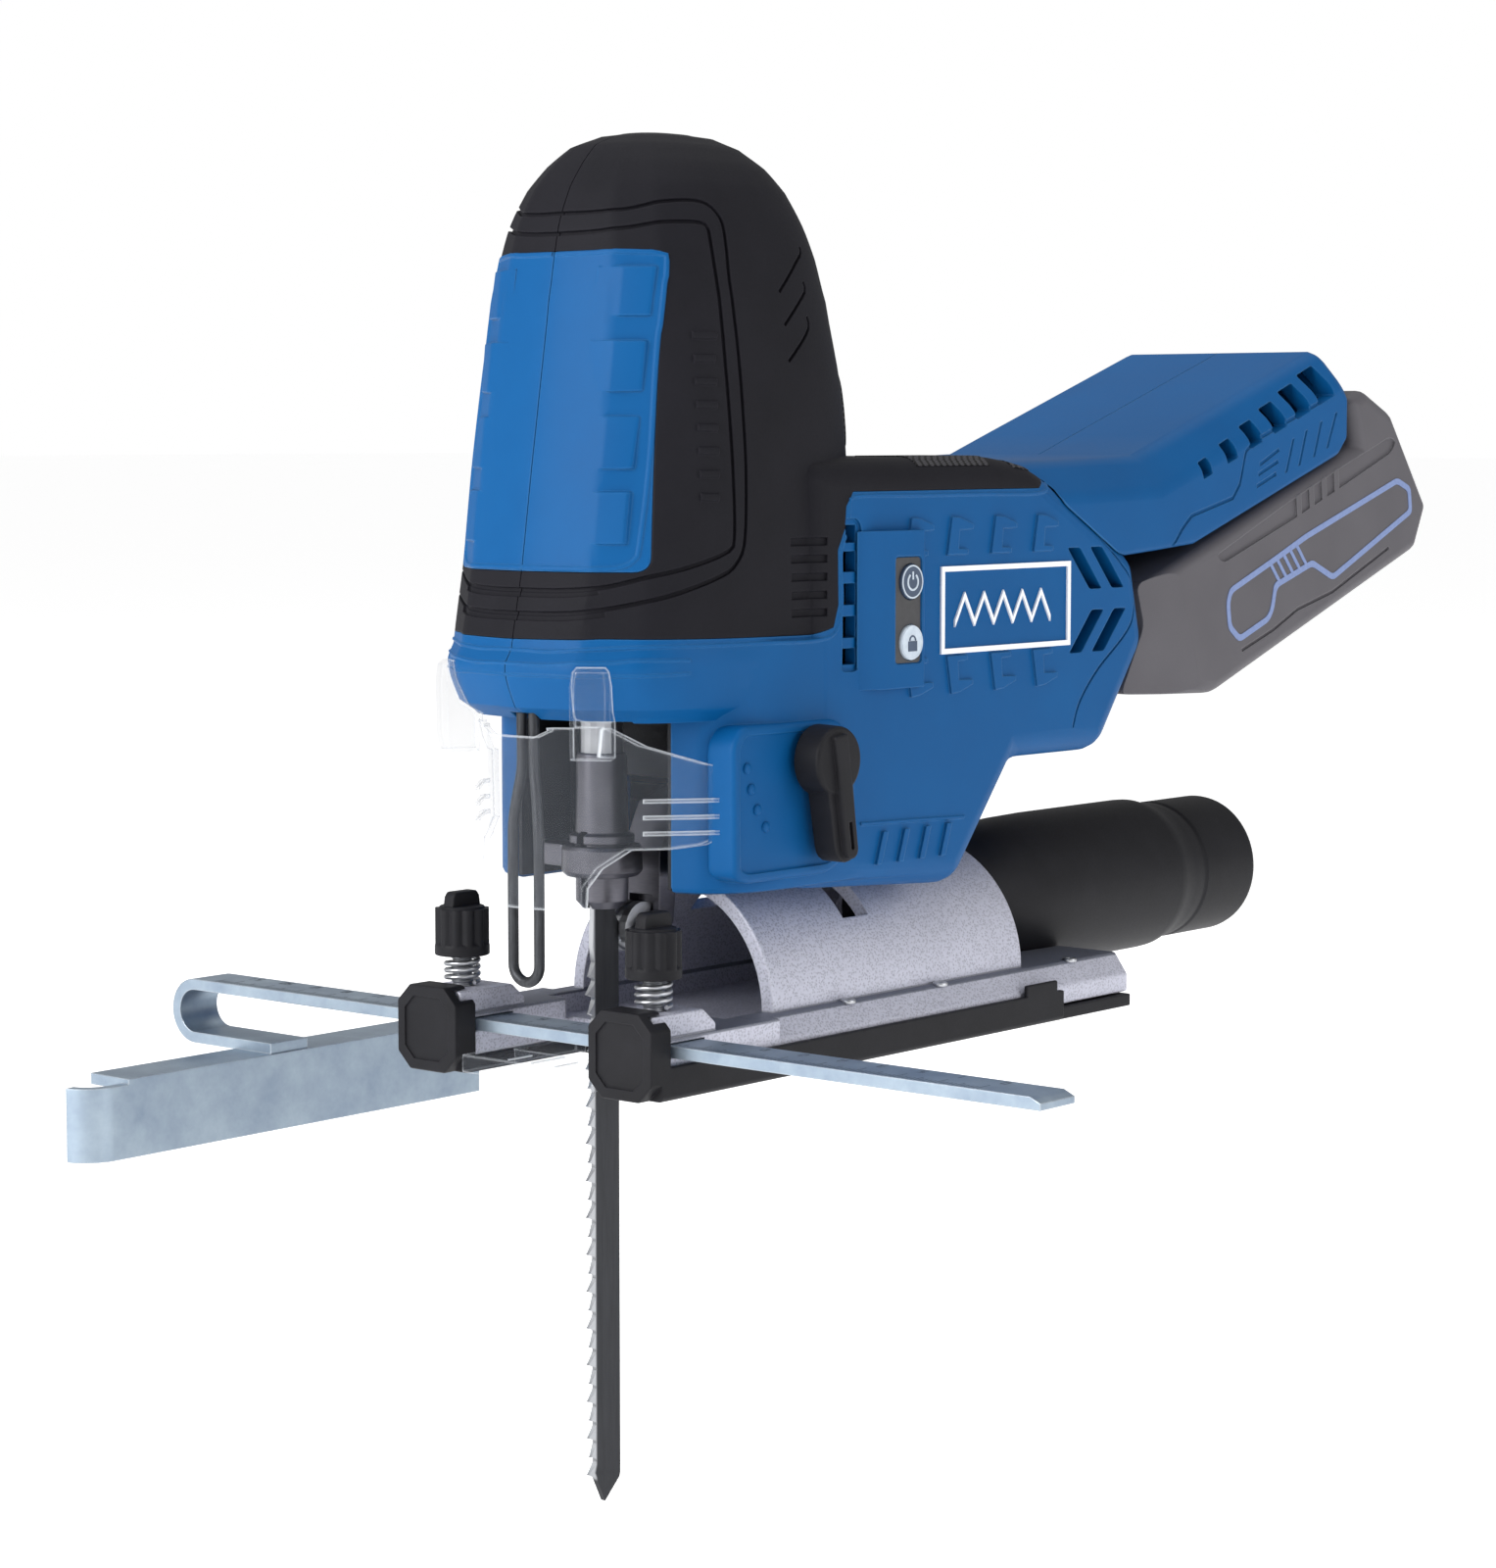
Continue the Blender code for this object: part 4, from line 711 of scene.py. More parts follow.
def rounded_off(outline, radius, steps=6):
    """The outline with each corner turned into an arc."""
    out = []
    for k, here in enumerate(outline):
        here = Vector(here)
        before, after = (Vector(outline[k - 1]) - here,
                         Vector(outline[(k + 1) % len(outline)]) - here)
        reach = min(radius, before.length * 0.45, after.length * 0.45)
        a, b = here + before.normalized() * reach, here + after.normalized() * reach
        for s in range(steps + 1):
            t = s / steps
            out.append(tuple(a * (1 - t) ** 2 + here * 2 * t * (1 - t) + b * t * t))
    return out


def pillow(name, outline, half, radius, corner=3.0, axis="x", steps=5, lo=None):
    """A slab with rounded corners and rounded edges, from -half (or lo) to half."""
    first = -half if lo is None else lo
    rings = []
    for k in range(steps + 1):
        turn = math.pi / 2 * k / steps
        back, trim = radius * (1 - math.sin(turn)), radius * (1 - math.cos(turn))
        shape = rounded_off(inset(outline, trim), max(corner - trim, 0.5))
        for c in (first + back, half - back):
            rings.append((c, [along(axis, a, b, c) for a, b in shape]))
    return loft(name, [ring for _, ring in sorted(rings, key=lambda r: r[0])])


BODY = ((25.0, 38.9), (78.5, 35.4), (100.0, 61.8), (134.0, 61.6), (152.0, 86.0), (147.0, 106.5),
        (108.0, 127.5), (94.0, 130.0), (25.0, 130.0))
BODY_IN = ((17.5, 46.0), (81.5, 46.0), (98.0, 65.4), (132.2, 65.2), (148.0, 87.0), (143.6, 104.2),
           (107.0, 123.8), (93.6, 126.4), (17.5, 126.4))


def barrel(depth, name="barrel"):
    return pillow(name, inset(list(BODY), depth), SIDE - depth, ROUND - depth * 0.5, 5.0)


def nose():
    rings = []
    for trim, z in ((1.4, 39.8), (0.4, 40.2), (0.0, 41.2), (0.0, 66.0), (0.0, 92.0)):
        rings.append([(x, y, z) for x, y, _ in oval(z, -5 + trim, 64.0, 36.3 - trim, 3.7, 96)])
    return loft("nose", rings)


def grip_zone(grow):
    """Everything that the rubber skin covers, seen from the side."""
    outline = [(-60, 90.8), (-22, 93.6), (27, 93.0), (32.8, 94.4), (34.4, 99.0), (34.2, 110.6),
               (36.6, 115.2), (37.0, 119.8), (39.4, 122.9), (107, 122.9), (111.6, 125.2),
               (115.0, 129.6), (115.6, 150), (70, 215), (-60, 215)]
    return prism("zone", inset(outline, -grow), "x", -60.0, 60.0)


def window_zone(grow):
    """The blue front left showing through the skin."""
    outline = ((-26.6 - grow, 107.0 - grow), (26.6 + grow, 107.0 - grow),
               (23.4 + grow, 172.3 + grow), (-23.4 - grow, 172.3 + grow))
    return prism("window", rounded_off(outline, 3.0), "y", -60.0, 8.0)


GAP = 0.12
hull = column(0.0, "housing_shell_left")
join(hull, barrel(0.0), nose())
form = copy_of(hull, "form")
keep(hull, block("left_half", (0.12, 80.0), (-80.0, 200.0), (0.0, 260.0)))
layer = grip_zone(GAP)
cut(layer, column(SKIN + GAP), barrel(SKIN + GAP), window_zone(0.0))
cut(hull, layer)
cut(hull, block("bay", (-22.0, 22.0), (-40.0, 14.0), (30.0, 76.4)),
    turned("saddle", (0.0, TILT_Z), ((5.0, DOME_R + 0.3), (120.0, DOME_R + 0.3)), "y", 96),
    block("arm_way", (-7.5, 7.5), (10.0, 30.0), (34.0, 62.0)),
    turned("clamp_way", (0.0, 0.0), ((70.0, 7.2), (90.0, 7.2)), "z", 48),
    block("guard_way", (-3.4, 3.4), (-24.4, -20.8), (70.0, 86.0)))
cut(hull, column(WALL, count=60))
cut(hull, pillow("hollow", list(BODY_IN), SIDE - WALL, 4.0, steps=3))


def on_skin(base, path, step=1.2):
    """The path as evenly set points on base's surface, each with its normal."""
    bpy.context.view_layer.update()
    rows = flow([(float(k), *p) for k, p in enumerate(path)], 12)
    dense = [put(*row[1:]) for row in rows]
    picked = [dense[0]]
    for p in dense:
        if (p - picked[-1]).length > step * 0.001:
            picked.append(p)
    out = []
    for p in picked:
        _, hit, normal, _ = base.closest_point_on_mesh(p)
        out.append((Vector((hit.x * 1000, hit.y * 1000 + 61.0, hit.z * 1000)), normal))
    return out


def swept(name, base, path, section, step=1.2):
    """A strip along a path on base; section is (sideways, outward) in millimetres."""
    spots = on_skin(base, path, step)
    rings = []
    for k, (spot, normal) in enumerate(spots):
        ahead = spots[min(k + 1, len(spots) - 1)][0] - spots[max(k - 1, 0)][0]
        side = ahead.cross(normal).normalized()
        rings.append([tuple(spot + side * a + normal * b) for a, b in section])
    return loft(name, rings)


def groove(base, path, width=1.1, depth=0.7, step=1.2):
    section = ((-width / 2, 0.8), (width / 2, 0.8), (width * 0.34, -depth), (-width * 0.34, -depth))
    return swept("groove", base, path, section, step)


def bead(base, path, width=1.0, high=0.4, step=1.2):
    section = ((-width / 2, -0.5), (width / 2, -0.5), (width / 2, 0.0), (width * 0.3, high * 0.8),
               (0.0, high), (-width * 0.3, high * 0.8), (-width / 2, 0.0))
    return swept("bead", base, path, section, step)


# Four squared steps stand on the crease of the window, for the fingers, and a rim runs round it.


def front_at(x, z):
    """How far forward the column stands at x, z."""
    row = next(r for r in flow(COLUMN, 16) if r[0] >= z)
    return min((abs(p[0] - x), p[1]) for p in oval(z, *row[1:]) if p[1] < 10)[1]


for low, high in ((158.9, 169.2), (143.6, 154.0), (127.9, 138.7), (112.6, 123.4)):
    rings = []
    for z, sink in ((low, 0.25), (low + 0.3, 0.0), (high - 0.3, 0.0), (high, 0.25)):
        a, b = front_at(10.5, z), front_at(22.4, z)
        c = front_at(17.4, z)
        rings.append([(11.5, a + 0.9, z), (11.5, a + 0.1, z), (16.6, c - 1.25 + sink, z),
                      (17.6, c - 0.95 + sink, z), (22.2 - sink, b - 1.35 + sink, z),
                      (22.6 - sink, b - 0.7 + sink, z), (22.6 - sink, b + 1.2, z)])
    join(hull, loft("step", rings))
edge = [(0.0, -24.0, 107.7), (12.0, -23.0, 107.7), (21.0, -19.0, 107.8), (24.2, -16.5, 109.6),
        (24.5, -15.0, 113.0), (24.0, -11.0, 130.0), (23.5, -8.6, 150.0), (22.8, -5.0, 169.0),
        (21.6, -5.6, 171.4), (18.6, -8.0, 171.8), (10.0, -12.0, 171.8), (0.0, -13.8, 171.8)]
join(hull, bead(form, edge, 1.1, 0.35))

# A fine bead follows the edge of the rubber, and two more cross the chin.
edge = [(0.0, -27.0, 90.9), (12.0, -26.0, 91.0), (24.0, -18.0, 91.6), (32.0, -5.0, 91.9),
        (35.5, 12.0, 91.9), (36.4, 27.5, 91.8), (36.5, 33.6, 93.4), (36.5, 35.6, 99.0),
        (36.5, 35.4, 110.4), (36.5, 37.8, 114.8), (36.5, 38.3, 119.4), (36.5, 40.4, 121.8),
        (36.5, 60.0, 121.8), (36.5, 85.0, 121.8), (36.5, 107.4, 121.8), (36.0, 112.6, 124.4),
        (35.0, 116.4, 128.4)]
join(hull, bead(form, edge, 0.8, 0.35))
for low in (88.2, 86.0):
    edge = [(0.0, -29.0, low), (12.0, -27.5, low), (24.0, -19.0, low + 0.3),
            (31.0, -8.0, low + 0.6)]
    join(hull, bead(form, edge, 0.7, 0.3))

# Slots: a row of inlets behind the rubber, and two pairs of slanted outlets over the fan.
recess = rounded_off([(35.2, 84.6), (41.6, 84.6), (43.2, 90.0), (43.2, 112.0), (41.6, 117.2),
                      (35.8, 117.2), (37.4, 113.0), (35.9, 110.4), (35.9, 90.0)], 2.0, 4)
cut(hull, prism("recess", recess, "x", 35.7, 40.0))
for low, high in ((86.1, 89.6), (91.8, 96.4), (98.8, 103.4), (105.8, 110.2), (112.0, 115.8)):
    cut(hull, block("inlet", (31.0, 45.0), (36.8, 41.2), (low, high)))
for row in (0, 1):
    for k in (0, 1):
        y, z = (127.0 + 9.0 * k, 99.4) if row == 0 else (119.0 + 9.0 * k, 84.9)
        lean = -8.9 if row == 0 else 8.9
        slot = [(y, z), (y + 5.0, z), (y + 5.0 + lean, z + 9.7), (y + lean, z + 9.7)]
        cut(hull, prism("outlet", rounded_off(slot, 0.8, 3), "x", 30.0, 45.0))
seam = [(36.0, 104.0, 129.4), (36.5, 111.6, 127.6), (36.5, 120.0, 122.0), (36.5, 126.6, 116.9),
        (36.5, 136.0, 108.4), (36.5, 144.6, 100.8), (36.5, 146.0, 97.4), (36.5, 143.2, 89.8),
        (36.5, 130.5, 80.6), (36.5, 123.4, 73.4), (36.5, 120.6, 67.0)]
cut(hull, groove(form, seam, 0.8, 0.6))

# Stepped marks are moulded proud above and below the badge, and slanted ribs low on the body.
for upper in (True, False):
    for y in (57.5, 72.0, 88.2, 104.2):
        shape = [(0, 0), (7.4, 0), (7.5, 1.1), (3.9, 1.3), (4.3, 5.4), (9.4, 5.5), (9.4, 6.6),
                 (4.6, 8.1), (1.7, 8.3)]
        shape = [(y + a, 108.6 + b if upper else 86.4 - b) for a, b in shape]
        join(hull, prism("stepped_mark", shape, "x", 36.0, 37.15))
for k in range(4):
    y = 47.0 + 7.6 * k
    rib = [(y, 42.6), (y + 1.7, 42.6), (y + 4.1, 49.6), (y + 2.4, 49.6)]
    join(hull, prism("rib", rib, "x", 36.0, 37.3))
join(hull, bead(form, [(36.5, 42.0, 51.8), (36.5, 60.0, 51.2), (36.5, 80.0, 50.4)], 0.9, 0.45))


def mirrored(obj, name):
    other = copy_of(obj, name)
    other.data.transform(Matrix.Scale(-1.0, 4, (1.0, 0.0, 0.0)))
    other.data.flip_normals()
    return other


right_hull = mirrored(hull, "housing_shell_right")
for number, (y, z) in enumerate(((48.0, 52.0), (50.0, 108.0), (104.0, 110.0), (112.0, 82.0),
                                 (82.0, 60.0))):
    cut(right_hull, turned("screw_recess", (y, z), ((-40.0, 3.9), (-35.0, 3.7)), "x", 40))
    head = eased(turned("housing_screw_%d" % number, (y, z), ((-36.1, 2.9), (-34.9, 2.9)), "x",
                        32), 0.4)
    cut(head, turned("socket", (y, z), ((-40.0, 1.4), (-35.4, 1.4)), "x", 6))
    place(head, plated, "housing", slot="bright_steel", smooth=30)
outline = [(-1.0, 44.0), (3.0, 42.4), (32.0, 42.4), (39.2, 49.0), (39.4, 69.0), (34.0, 75.0),
           (2.0, 75.2), (-1.2, 71.6)]
dial_pad = pillow("selector_pad", outline, 37.7, 1.2, 4.0, lo=30.0)
cut(dial_pad, pillow("dish", inset(outline, 2.0), 42.0, 0.5, 3.0, lo=37.1))
cut(dial_pad, pillow("hollow", list(BODY_IN), SIDE - WALL, 4.0, steps=3))
join(hull, dial_pad)
cut(hull, turned("selector_way", (24.4, 67.0), ((20.0, 3.5), (45.0, 3.5)), "x", 32))
place(hull, shell_blue, "housing", "housing_left", "panel_left", slot="blue_plastic", smooth=26)
place(right_hull, shell_blue, "housing", "housing_right", "panel_right", slot="blue_plastic",
      smooth=26)

# ---------------------------------------------------------------- rubber grip skin
# Black thermoplastic rubber moulded over the column and the top of the body, matt and faintly
# pebbled, with two cut lines round the window, hooked strokes, finger slots and woven pads.

rubber = Finish("soft_black", Specular_IOR_Level=0.13)
pebble = rubber.noise(0.5, 4.0, 0.7)
haze = rubber.noise(16.0, 3.0, 0.6)
rub = rubber.edge_wear_and_sheen(0.6)
rubber.set(Base_Color=rubber.mix(haze * 0.5 + rub * 0.6, tint(18, 18, 23), tint(33, 32, 39)),
           Roughness=0.58 + pebble * 0.16 - rub * 0.06)
rubber.bump(pebble, 0.05, rubber.edge(0.4), 0.5)

OUTER = [(-2.0, -11.8, 180.4), (6.0, -11.4, 180.4), (14.0, -9.0, 180.8), (20.0, -3.0, 182.2),
         (23.4, 2.8, 182.7), (24.8, 5.9, 181.9), (26.1, 7.5, 179.8), (27.1, 7.9, 177.3),
         (29.7, 6.8, 167.0), (31.5, 7.1, 154.2), (33.0, 7.3, 138.8), (33.7, 7.4, 127.4),
         (34.2, 6.5, 113.4), (34.0, 4.1, 108.6), (33.4, -0.1, 106.0), (28.9, -12.1, 102.0),
         (19.2, -22.1, 99.4), (10.0, -25.4, 98.6), (-2.0, -26.0, 98.4)]
INNER = [(-2.0, -13.0, 176.0), (8.0, -12.0, 176.2), (15.0, -10.1, 176.9), (21.0, -3.5, 177.7),
         (25.6, 2.6, 178.1), (26.4, 3.9, 177.0), (27.2, 3.8, 174.5), (28.1, 3.6, 170.9),
         (30.1, 3.6, 160.7), (31.7, 3.6, 146.5), (33.2, 3.9, 127.4), (33.8, 3.6, 113.5),
         (33.5, 1.4, 110.8), (30.7, -7.7, 107.8), (25.0, -16.0, 105.6), (18.7, -21.5, 103.9),
         (9.0, -24.7, 103.3), (-2.0, -25.1, 103.2)]
LOW_OUTER = [(-2.0, -26.0, 97.6), (10.0, -25.4, 97.8), (17.0, -23.2, 98.2), (20.5, -21.4, 98.8)]
LOW_INNER = [(-2.0, -25.1, 102.4), (10.0, -24.6, 102.6), (16.0, -22.6, 102.9), (19.5, -20.9, 103.4)]
HOOKS = (((27.4, 32.3, 174.3), (28.0, 31.9, 172.6), (29.0, 29.5, 171.1), (31.1, 20.9, 164.0)),
         ((29.7, 30.8, 166.9), (30.1, 31.1, 165.0), (30.9, 28.5, 162.9), (32.0, 21.2, 156.8)),
         ((31.0, 30.4, 159.6), (31.3, 30.9, 157.6), (31.8, 28.7, 155.1), (32.8, 21.5, 149.3)))

grip = copy_of(form, "grip_skin_left")
keep(grip, block("left_half", (0.12, 80.0), (-80.0, 200.0), (60.0, 260.0)))
keep(grip, grip_zone(0.0))
cut(grip, column(SKIN), barrel(SKIN), window_zone(0.12))
for path in (OUTER, INNER):
    cut(grip, groove(form, path, 1.15, 0.8))
for path in (LOW_OUTER, LOW_INNER):
    cut(grip, groove(form, path, 1.9, 0.6))
for path in HOOKS:
    cut(grip, groove(form, path, 1.0, 0.8))
for z in (112.5, 108.9, 105.1, 101.3, 97.6):
    cut(grip, groove(form, [(34.9, 20.6, z), (34.9, 26.0, z), (34.6, 32.2, z)], 2.1, 0.7))
for k in range(8):
    z = 155.0 - 4.7 * k
    x = 29.0 + (156.4 - z) * 0.066
    join(grip, bead(form, [(x - 1.1, -3.0 - 0.02 * (156 - z), z), (x, -0.2 - 0.05 * (156 - z), z),
                           (x + 0.9, 2.2 - 0.05 * (156 - z), z)], 1.9, 0.6, 0.8))

right_grip = mirrored(grip, "grip_skin_right")
place(grip, rubber, "housing", "grip_left", slot="soft_black", smooth=26)
place(right_grip, rubber, "housing", "grip_right", slot="soft_black", smooth=26)

# Woven rubber pads let into the skin, for the palm: one low on the back of the column and two on
# top of the body, each a diamond mesh.

weave = Finish("woven_rubber", Roughness=0.72, Specular_IOR_Level=0.25)
x, y, z = weave.axes()
up = z + y * 0.55
one = abs(((x + up) * 2.6).wave())
two = abs(((x - up) * 2.6).wave())
mesh_lines = one.over(0.25, 0.75) * two.over(0.25, 0.75)
weave.set(Base_Color=weave.mix(mesh_lines, tint(9, 9, 11), tint(76, 75, 80)))
weave.bump(mesh_lines, 0.35, strength=0.9)


def inlay(name, rows, high=0.35):
    """A thin pad lying on the form; rows are lines of points across it."""
    count = len(rows[0])
    upper, lower = [], []
    for row in rows:
        for p in row:
            spot, normal = on_skin(form, [p, p], 0.8)[0]
            upper.append(tuple(spot + normal * high))
            lower.append(tuple(spot - normal * 0.6))
    faces = []
    total = len(upper)
    for r in range(len(rows) - 1):
        for k in range(count - 1):
            a = r * count + k
            faces.append((a, a + 1, a + count + 1, a + count))
            faces.append((total + a, total + a + count, total + a + count + 1, total + a + 1))
    rim = list(range(count)) + [r * count + count - 1 for r in range(1, len(rows))]
    rim += [len(rows) * count - 2 - k for k in range(count - 1)]
    rim += [r * count for r in range(len(rows) - 2, 0, -1)]
    for a, b in zip(rim, rim[1:] + rim[:1]):
        faces.append((a, b, total + b, total + a))
    return solid(name, upper + lower, faces)


def between(a, b, count):
    return [tuple(p + (q - p) * k / (count - 1) for p, q in zip(a, b)) for k in range(count)]


for side, word in ((1, "left"), (-1, "right")):
    back = []
    for k in range(15):
        t = k / 14
        z = 131.5 + 17.0 * t
        belly = math.sin(math.pi * t) ** 0.6
        back.append(between((side * (21.5 + 3.5 * belly), 50.5 - 2.5 * belly, z),
                            (side * 2.0, 60.0, z), 22))
    place(inlay("palm_pad_back_" + word, back), weave, "housing", slot="soft_black")
    for number, (y0, y1, lean) in enumerate(((63.5, 95.0, 5.0), (99.5, 110.5, 4.0))):
        strip = []
        for k in range(13):
            t = k / 12
            strip.append(between(
                (side * (34.2 - 18.0 * t), y0 + lean * 0.4 * t, 130.0 - 2.6 * (1 - t) ** 2),
                (side * (34.2 - 18.0 * t), y1 - lean * (1 - t), 130.0 - 2.6 * (1 - t) ** 2), 26))
        place(inlay("palm_pad_%d_%s" % (number, word), strip, 0.25), weave, "housing",
              slot="soft_black")
bpy.data.objects.remove(form)

# ---------------------------------------------------------------- control panel
# A blue bezel moulded on the left side carries a dark membrane with two push buttons, one for
# power and one for the lock.  The badge beside it is a plain white frame round a saw-tooth line.

section = ((40.8, 36.3), (42.2, 36.7), (47.4, 39.0), (61.0, 39.1), (61.9, 38.4), (61.9, 36.3))
bezel = loft("control_bezel", [[(x, y, z) for y, x in section] for z in (80.4, 114.4)])
eased(bezel, 0.7)
cut(bezel, pillow("recess", [(50.9, 85.6), (60.2, 85.6), (60.2, 108.8), (50.9, 108.8)], 41.0,
                  0.2, 1.2, lo=38.6),
    turned("power_way", (56.4, 103.3), ((36.0, 3.95), (40.0, 3.95)), "x", 40),
    turned("lock_way", (56.4, 90.2), ((36.0, 3.95), (40.0, 3.95)), "x", 40))
place(bezel, shell_blue, "housing", "control_panel", slot="blue_plastic")
film = Finish("membrane", Roughness=0.34)
film.set(Base_Color=film.mix(film.noise(1.2), tint(44, 44, 47), tint(60, 60, 63)))
film.bump(film.noise(0.4), 0.02)
panel = pillow("membrane_strip", [(51.1, 85.8), (60.0, 85.8), (60.0, 108.6), (51.1, 108.6)],
               38.78, 0.1, 1.2, lo=38.4)
cut(panel, turned("hole", (56.4, 103.3), ((37.0, 4.0), (40.0, 4.0)), "x", 40),
    turned("hole", (56.4, 90.2), ((37.0, 4.0), (40.0, 4.0)), "x", 40))
place(panel, film, "housing", slot="black_plastic")
lit = Finish("pale_print", Roughness=0.4)
lit.set(Base_Color=lit.mix(lit.noise(1.0), tint(176, 190, 204), tint(206, 216, 226)))
navy = Finish("navy_button", Roughness=0.38)
navy.set(Base_Color=navy.mix(navy.noise(1.5), tint(46, 60, 82), tint(66, 82, 106)))
for body, centre, base, top, word in (("power_button", (56.4, 103.3), navy, lit, "power"),
                                      ("lock_button", (56.4, 90.2), lit, navy, "lock")):
    button = eased(turned(word + "_key", centre, ((37.8, 3.8), (39.3, 3.8), (39.42, 3.4)), "x",
                          48), 0.2)
    place(button, base, body, body, slot="black_plastic")
    y, z = centre
    rim = tube(word + "_rim", centre, ((39.3, 3.3), (39.48, 3.3), (39.48, 3.62), (39.3, 3.62)),
               "x", 48)
    place(rim, top if word == "power" else base, body, slot="white_print")
    if word == "power":
        ring = [(39.44, y + a, z + b) for a, b in arc(0, 0, 1.75, 30, 125, 290)]
        sign = wire("power_sign", ring, 0.24)
        join(sign, block("bar", (39.35, 39.56), (y - 0.24, y + 0.24), (z + 0.5, z + 2.2)))
    else:
        sign = block("lock_sign", (39.35, 39.56), (y - 1.5, y + 1.5), (z - 1.9, z + 0.3))
        hoop = [(39.44, y + a, z + 0.4 + b) for a, b in arc(0, 0, 1.0, 16, 0, 180)]
        join(sign, wire("hoop", hoop, 0.2))
    place(sign, top, body, slot="white_print")

print_white = Finish("white_print", Roughness=0.45)
print_white.set(Base_Color=print_white.mix(print_white.noise(0.8), tint(226, 230, 238),
                                           tint(244, 246, 250)))
frame_in, low, top = 1.15, 86.9, 106.1
badge = block("badge_frame", (36.4, 37.0), (70.0, 118.8), (low, top))
cut(badge, block("field", (36.0, 38.0), (70.0 + frame_in, 118.8 - frame_in),
                 (low + frame_in, top - frame_in)))
teeth = []
for k in range(11):
    teeth.append((75.0 + 3.6 * k, 93.4 if k % 2 == 0 else 99.6))
line = [(a, b + 0.75) for a, b in teeth] + [(a, b - 0.75) for a, b in reversed(teeth)]
join(badge, prism("saw_line", line, "x", 36.4, 36.95))
place(badge, print_white, "housing", "nameplate", slot="white_print")

# ---------------------------------------------------------------- battery foot
# The rear of the two shells widens into a foot with rails, a terminal block and six square
# cooling slots a side that grow towards the back.

TILT = math.radians(19)


def slope(s, t):
    """A place s along and t above the battery's slide line, as (y, z)."""
    return s * math.cos(TILT) - t * math.sin(TILT), s * math.sin(TILT) + t * math.cos(TILT)


def foot_ring(y, low, top, trim=0.0):
    half, flat = 36.0 - trim, 28.0 - trim * 0.7
    top -= trim
    low += trim
    ring = [(-half, low), (half, low), (half, top - 9.0), (half - 1.6, top - 6.6),
            (flat + 1.4, top - 1.0), (flat - 1.4, top)]
    ring += [(-flat + 1.4, top), (-flat - 1.4, top - 1.0), (-half + 1.6, top - 6.6),
             (-half, top - 9.0)]
    return [(x, y, z) for x, z in ring]


foot = loft("battery_foot", [foot_ring(*v) for v in (
    (100.0, 104.0, 128.6), (126.0, 105.5, 129.0), (157.5, 107.6, 130.0), (172.0, 108.7, 134.8),
    (237.0, 129.5, 156.0), (241.5, 134.0, 152.5))])
eased(foot, 1.4, 24, 3)
cut(foot, loft("hollow", [foot_ring(*v, 3.0) for v in (
    (120.0, 104.0, 129.0), (157.5, 107.8, 130.0), (172.0, 109.8, 134.2), (234.0, 129.4, 154.8))]))
cut(foot, barrel(-0.3))
rail_way = [slope(185.6, 40.0), slope(290.0, 40.0), slope(290.0, 54.0), slope(185.6, 54.0)]
cut(foot, prism("rail_way", rail_way, "x", -18.4, 18.4))
for k in range(6):
    s, size = 206.0 + 11.0 * k, 4.2 + 0.75 * k
    hole = [slope(s, 60.3), slope(s + size, 60.3), slope(s + size, 60.3 + size),
            slope(s, 60.3 + size)]
    cut(foot, prism("slot", rounded_off(hole, 0.6, 3), "x", -40.0, 40.0))
for side in (1, -1):
    line = [(187.5, 49.7), (193.9, 52.9), (198.3, 54.3), (216.5, 52.2), (220.6, 54.4),
            (225.5, 61.0), (230.0, 62.1), (268.5, 61.2)]
    path = [slope(s, t) for s, t in line] + [slope(s + 0.3, t - 0.9) for s, t in reversed(line)]
    cut(foot, prism("line", path, "x", *sorted((side * 35.5, side * 40.0))))
    strokes = [((230.6, 55.0), (240.0, 55.6)), ((229.2, 52.9), (238.7, 53.0)),
               ((227.7, 50.4), (236.9, 50.4)), ((240.9, 49.6), (246.5, 56.4)),
               ((247.1, 49.2), (252.9, 56.4)), ((254.3, 49.0), (260.2, 56.2)),
               ((260.9, 49.0), (267.6, 56.0))]
    for (s0, t0), (s1, t1) in strokes:
        wide, tall = (0.0, 0.9) if abs(t1 - t0) < 1 else (1.2, 0.0)
        stroke = [slope(s0, t0), slope(s0 + wide, t0 + tall), slope(s1 + wide, t1 + tall),
                  slope(s1, t1)]
        cut(foot, prism("stroke", stroke, "x", *sorted((side * 35.6, side * 40.0))))
keep(foot, block("left_half", (0.12, 80.0), (90.0, 260.0), (90.0, 180.0)))
foot_right = mirrored(foot, "battery_foot_right")
foot.name = "battery_foot_left"
place(foot, shell_blue, "housing", "battery_mount_left", slot="blue_plastic", smooth=28)
place(foot_right, shell_blue, "housing", "battery_mount_right", slot="blue_plastic", smooth=28)

# ---------------------------------------------------------------- orbit selector
# A black moulded knob with a long lever, on the side pad.  It turns the cam that backs the roller,
# and four small pips on the pad mark its settings.

KY, KZ = 24.4, 67.0
down = Vector((27.7 - KY, 45.4 - KZ)).normalized()
over = Vector((-down.y, down.x))


def lever(near, far, wide, narrow):
    """Outline of a strip along the lever, its far end rounded."""
    spot = Vector((KY, KZ))
    line = [spot + over * wide + down * near, spot - over * wide + down * near]
    line += [spot + down * (far - narrow) - over * narrow * math.cos(math.radians(a))
             + down * narrow * math.sin(math.radians(a)) for a in range(0, 181, 20)]
    return [tuple(p) for p in line]


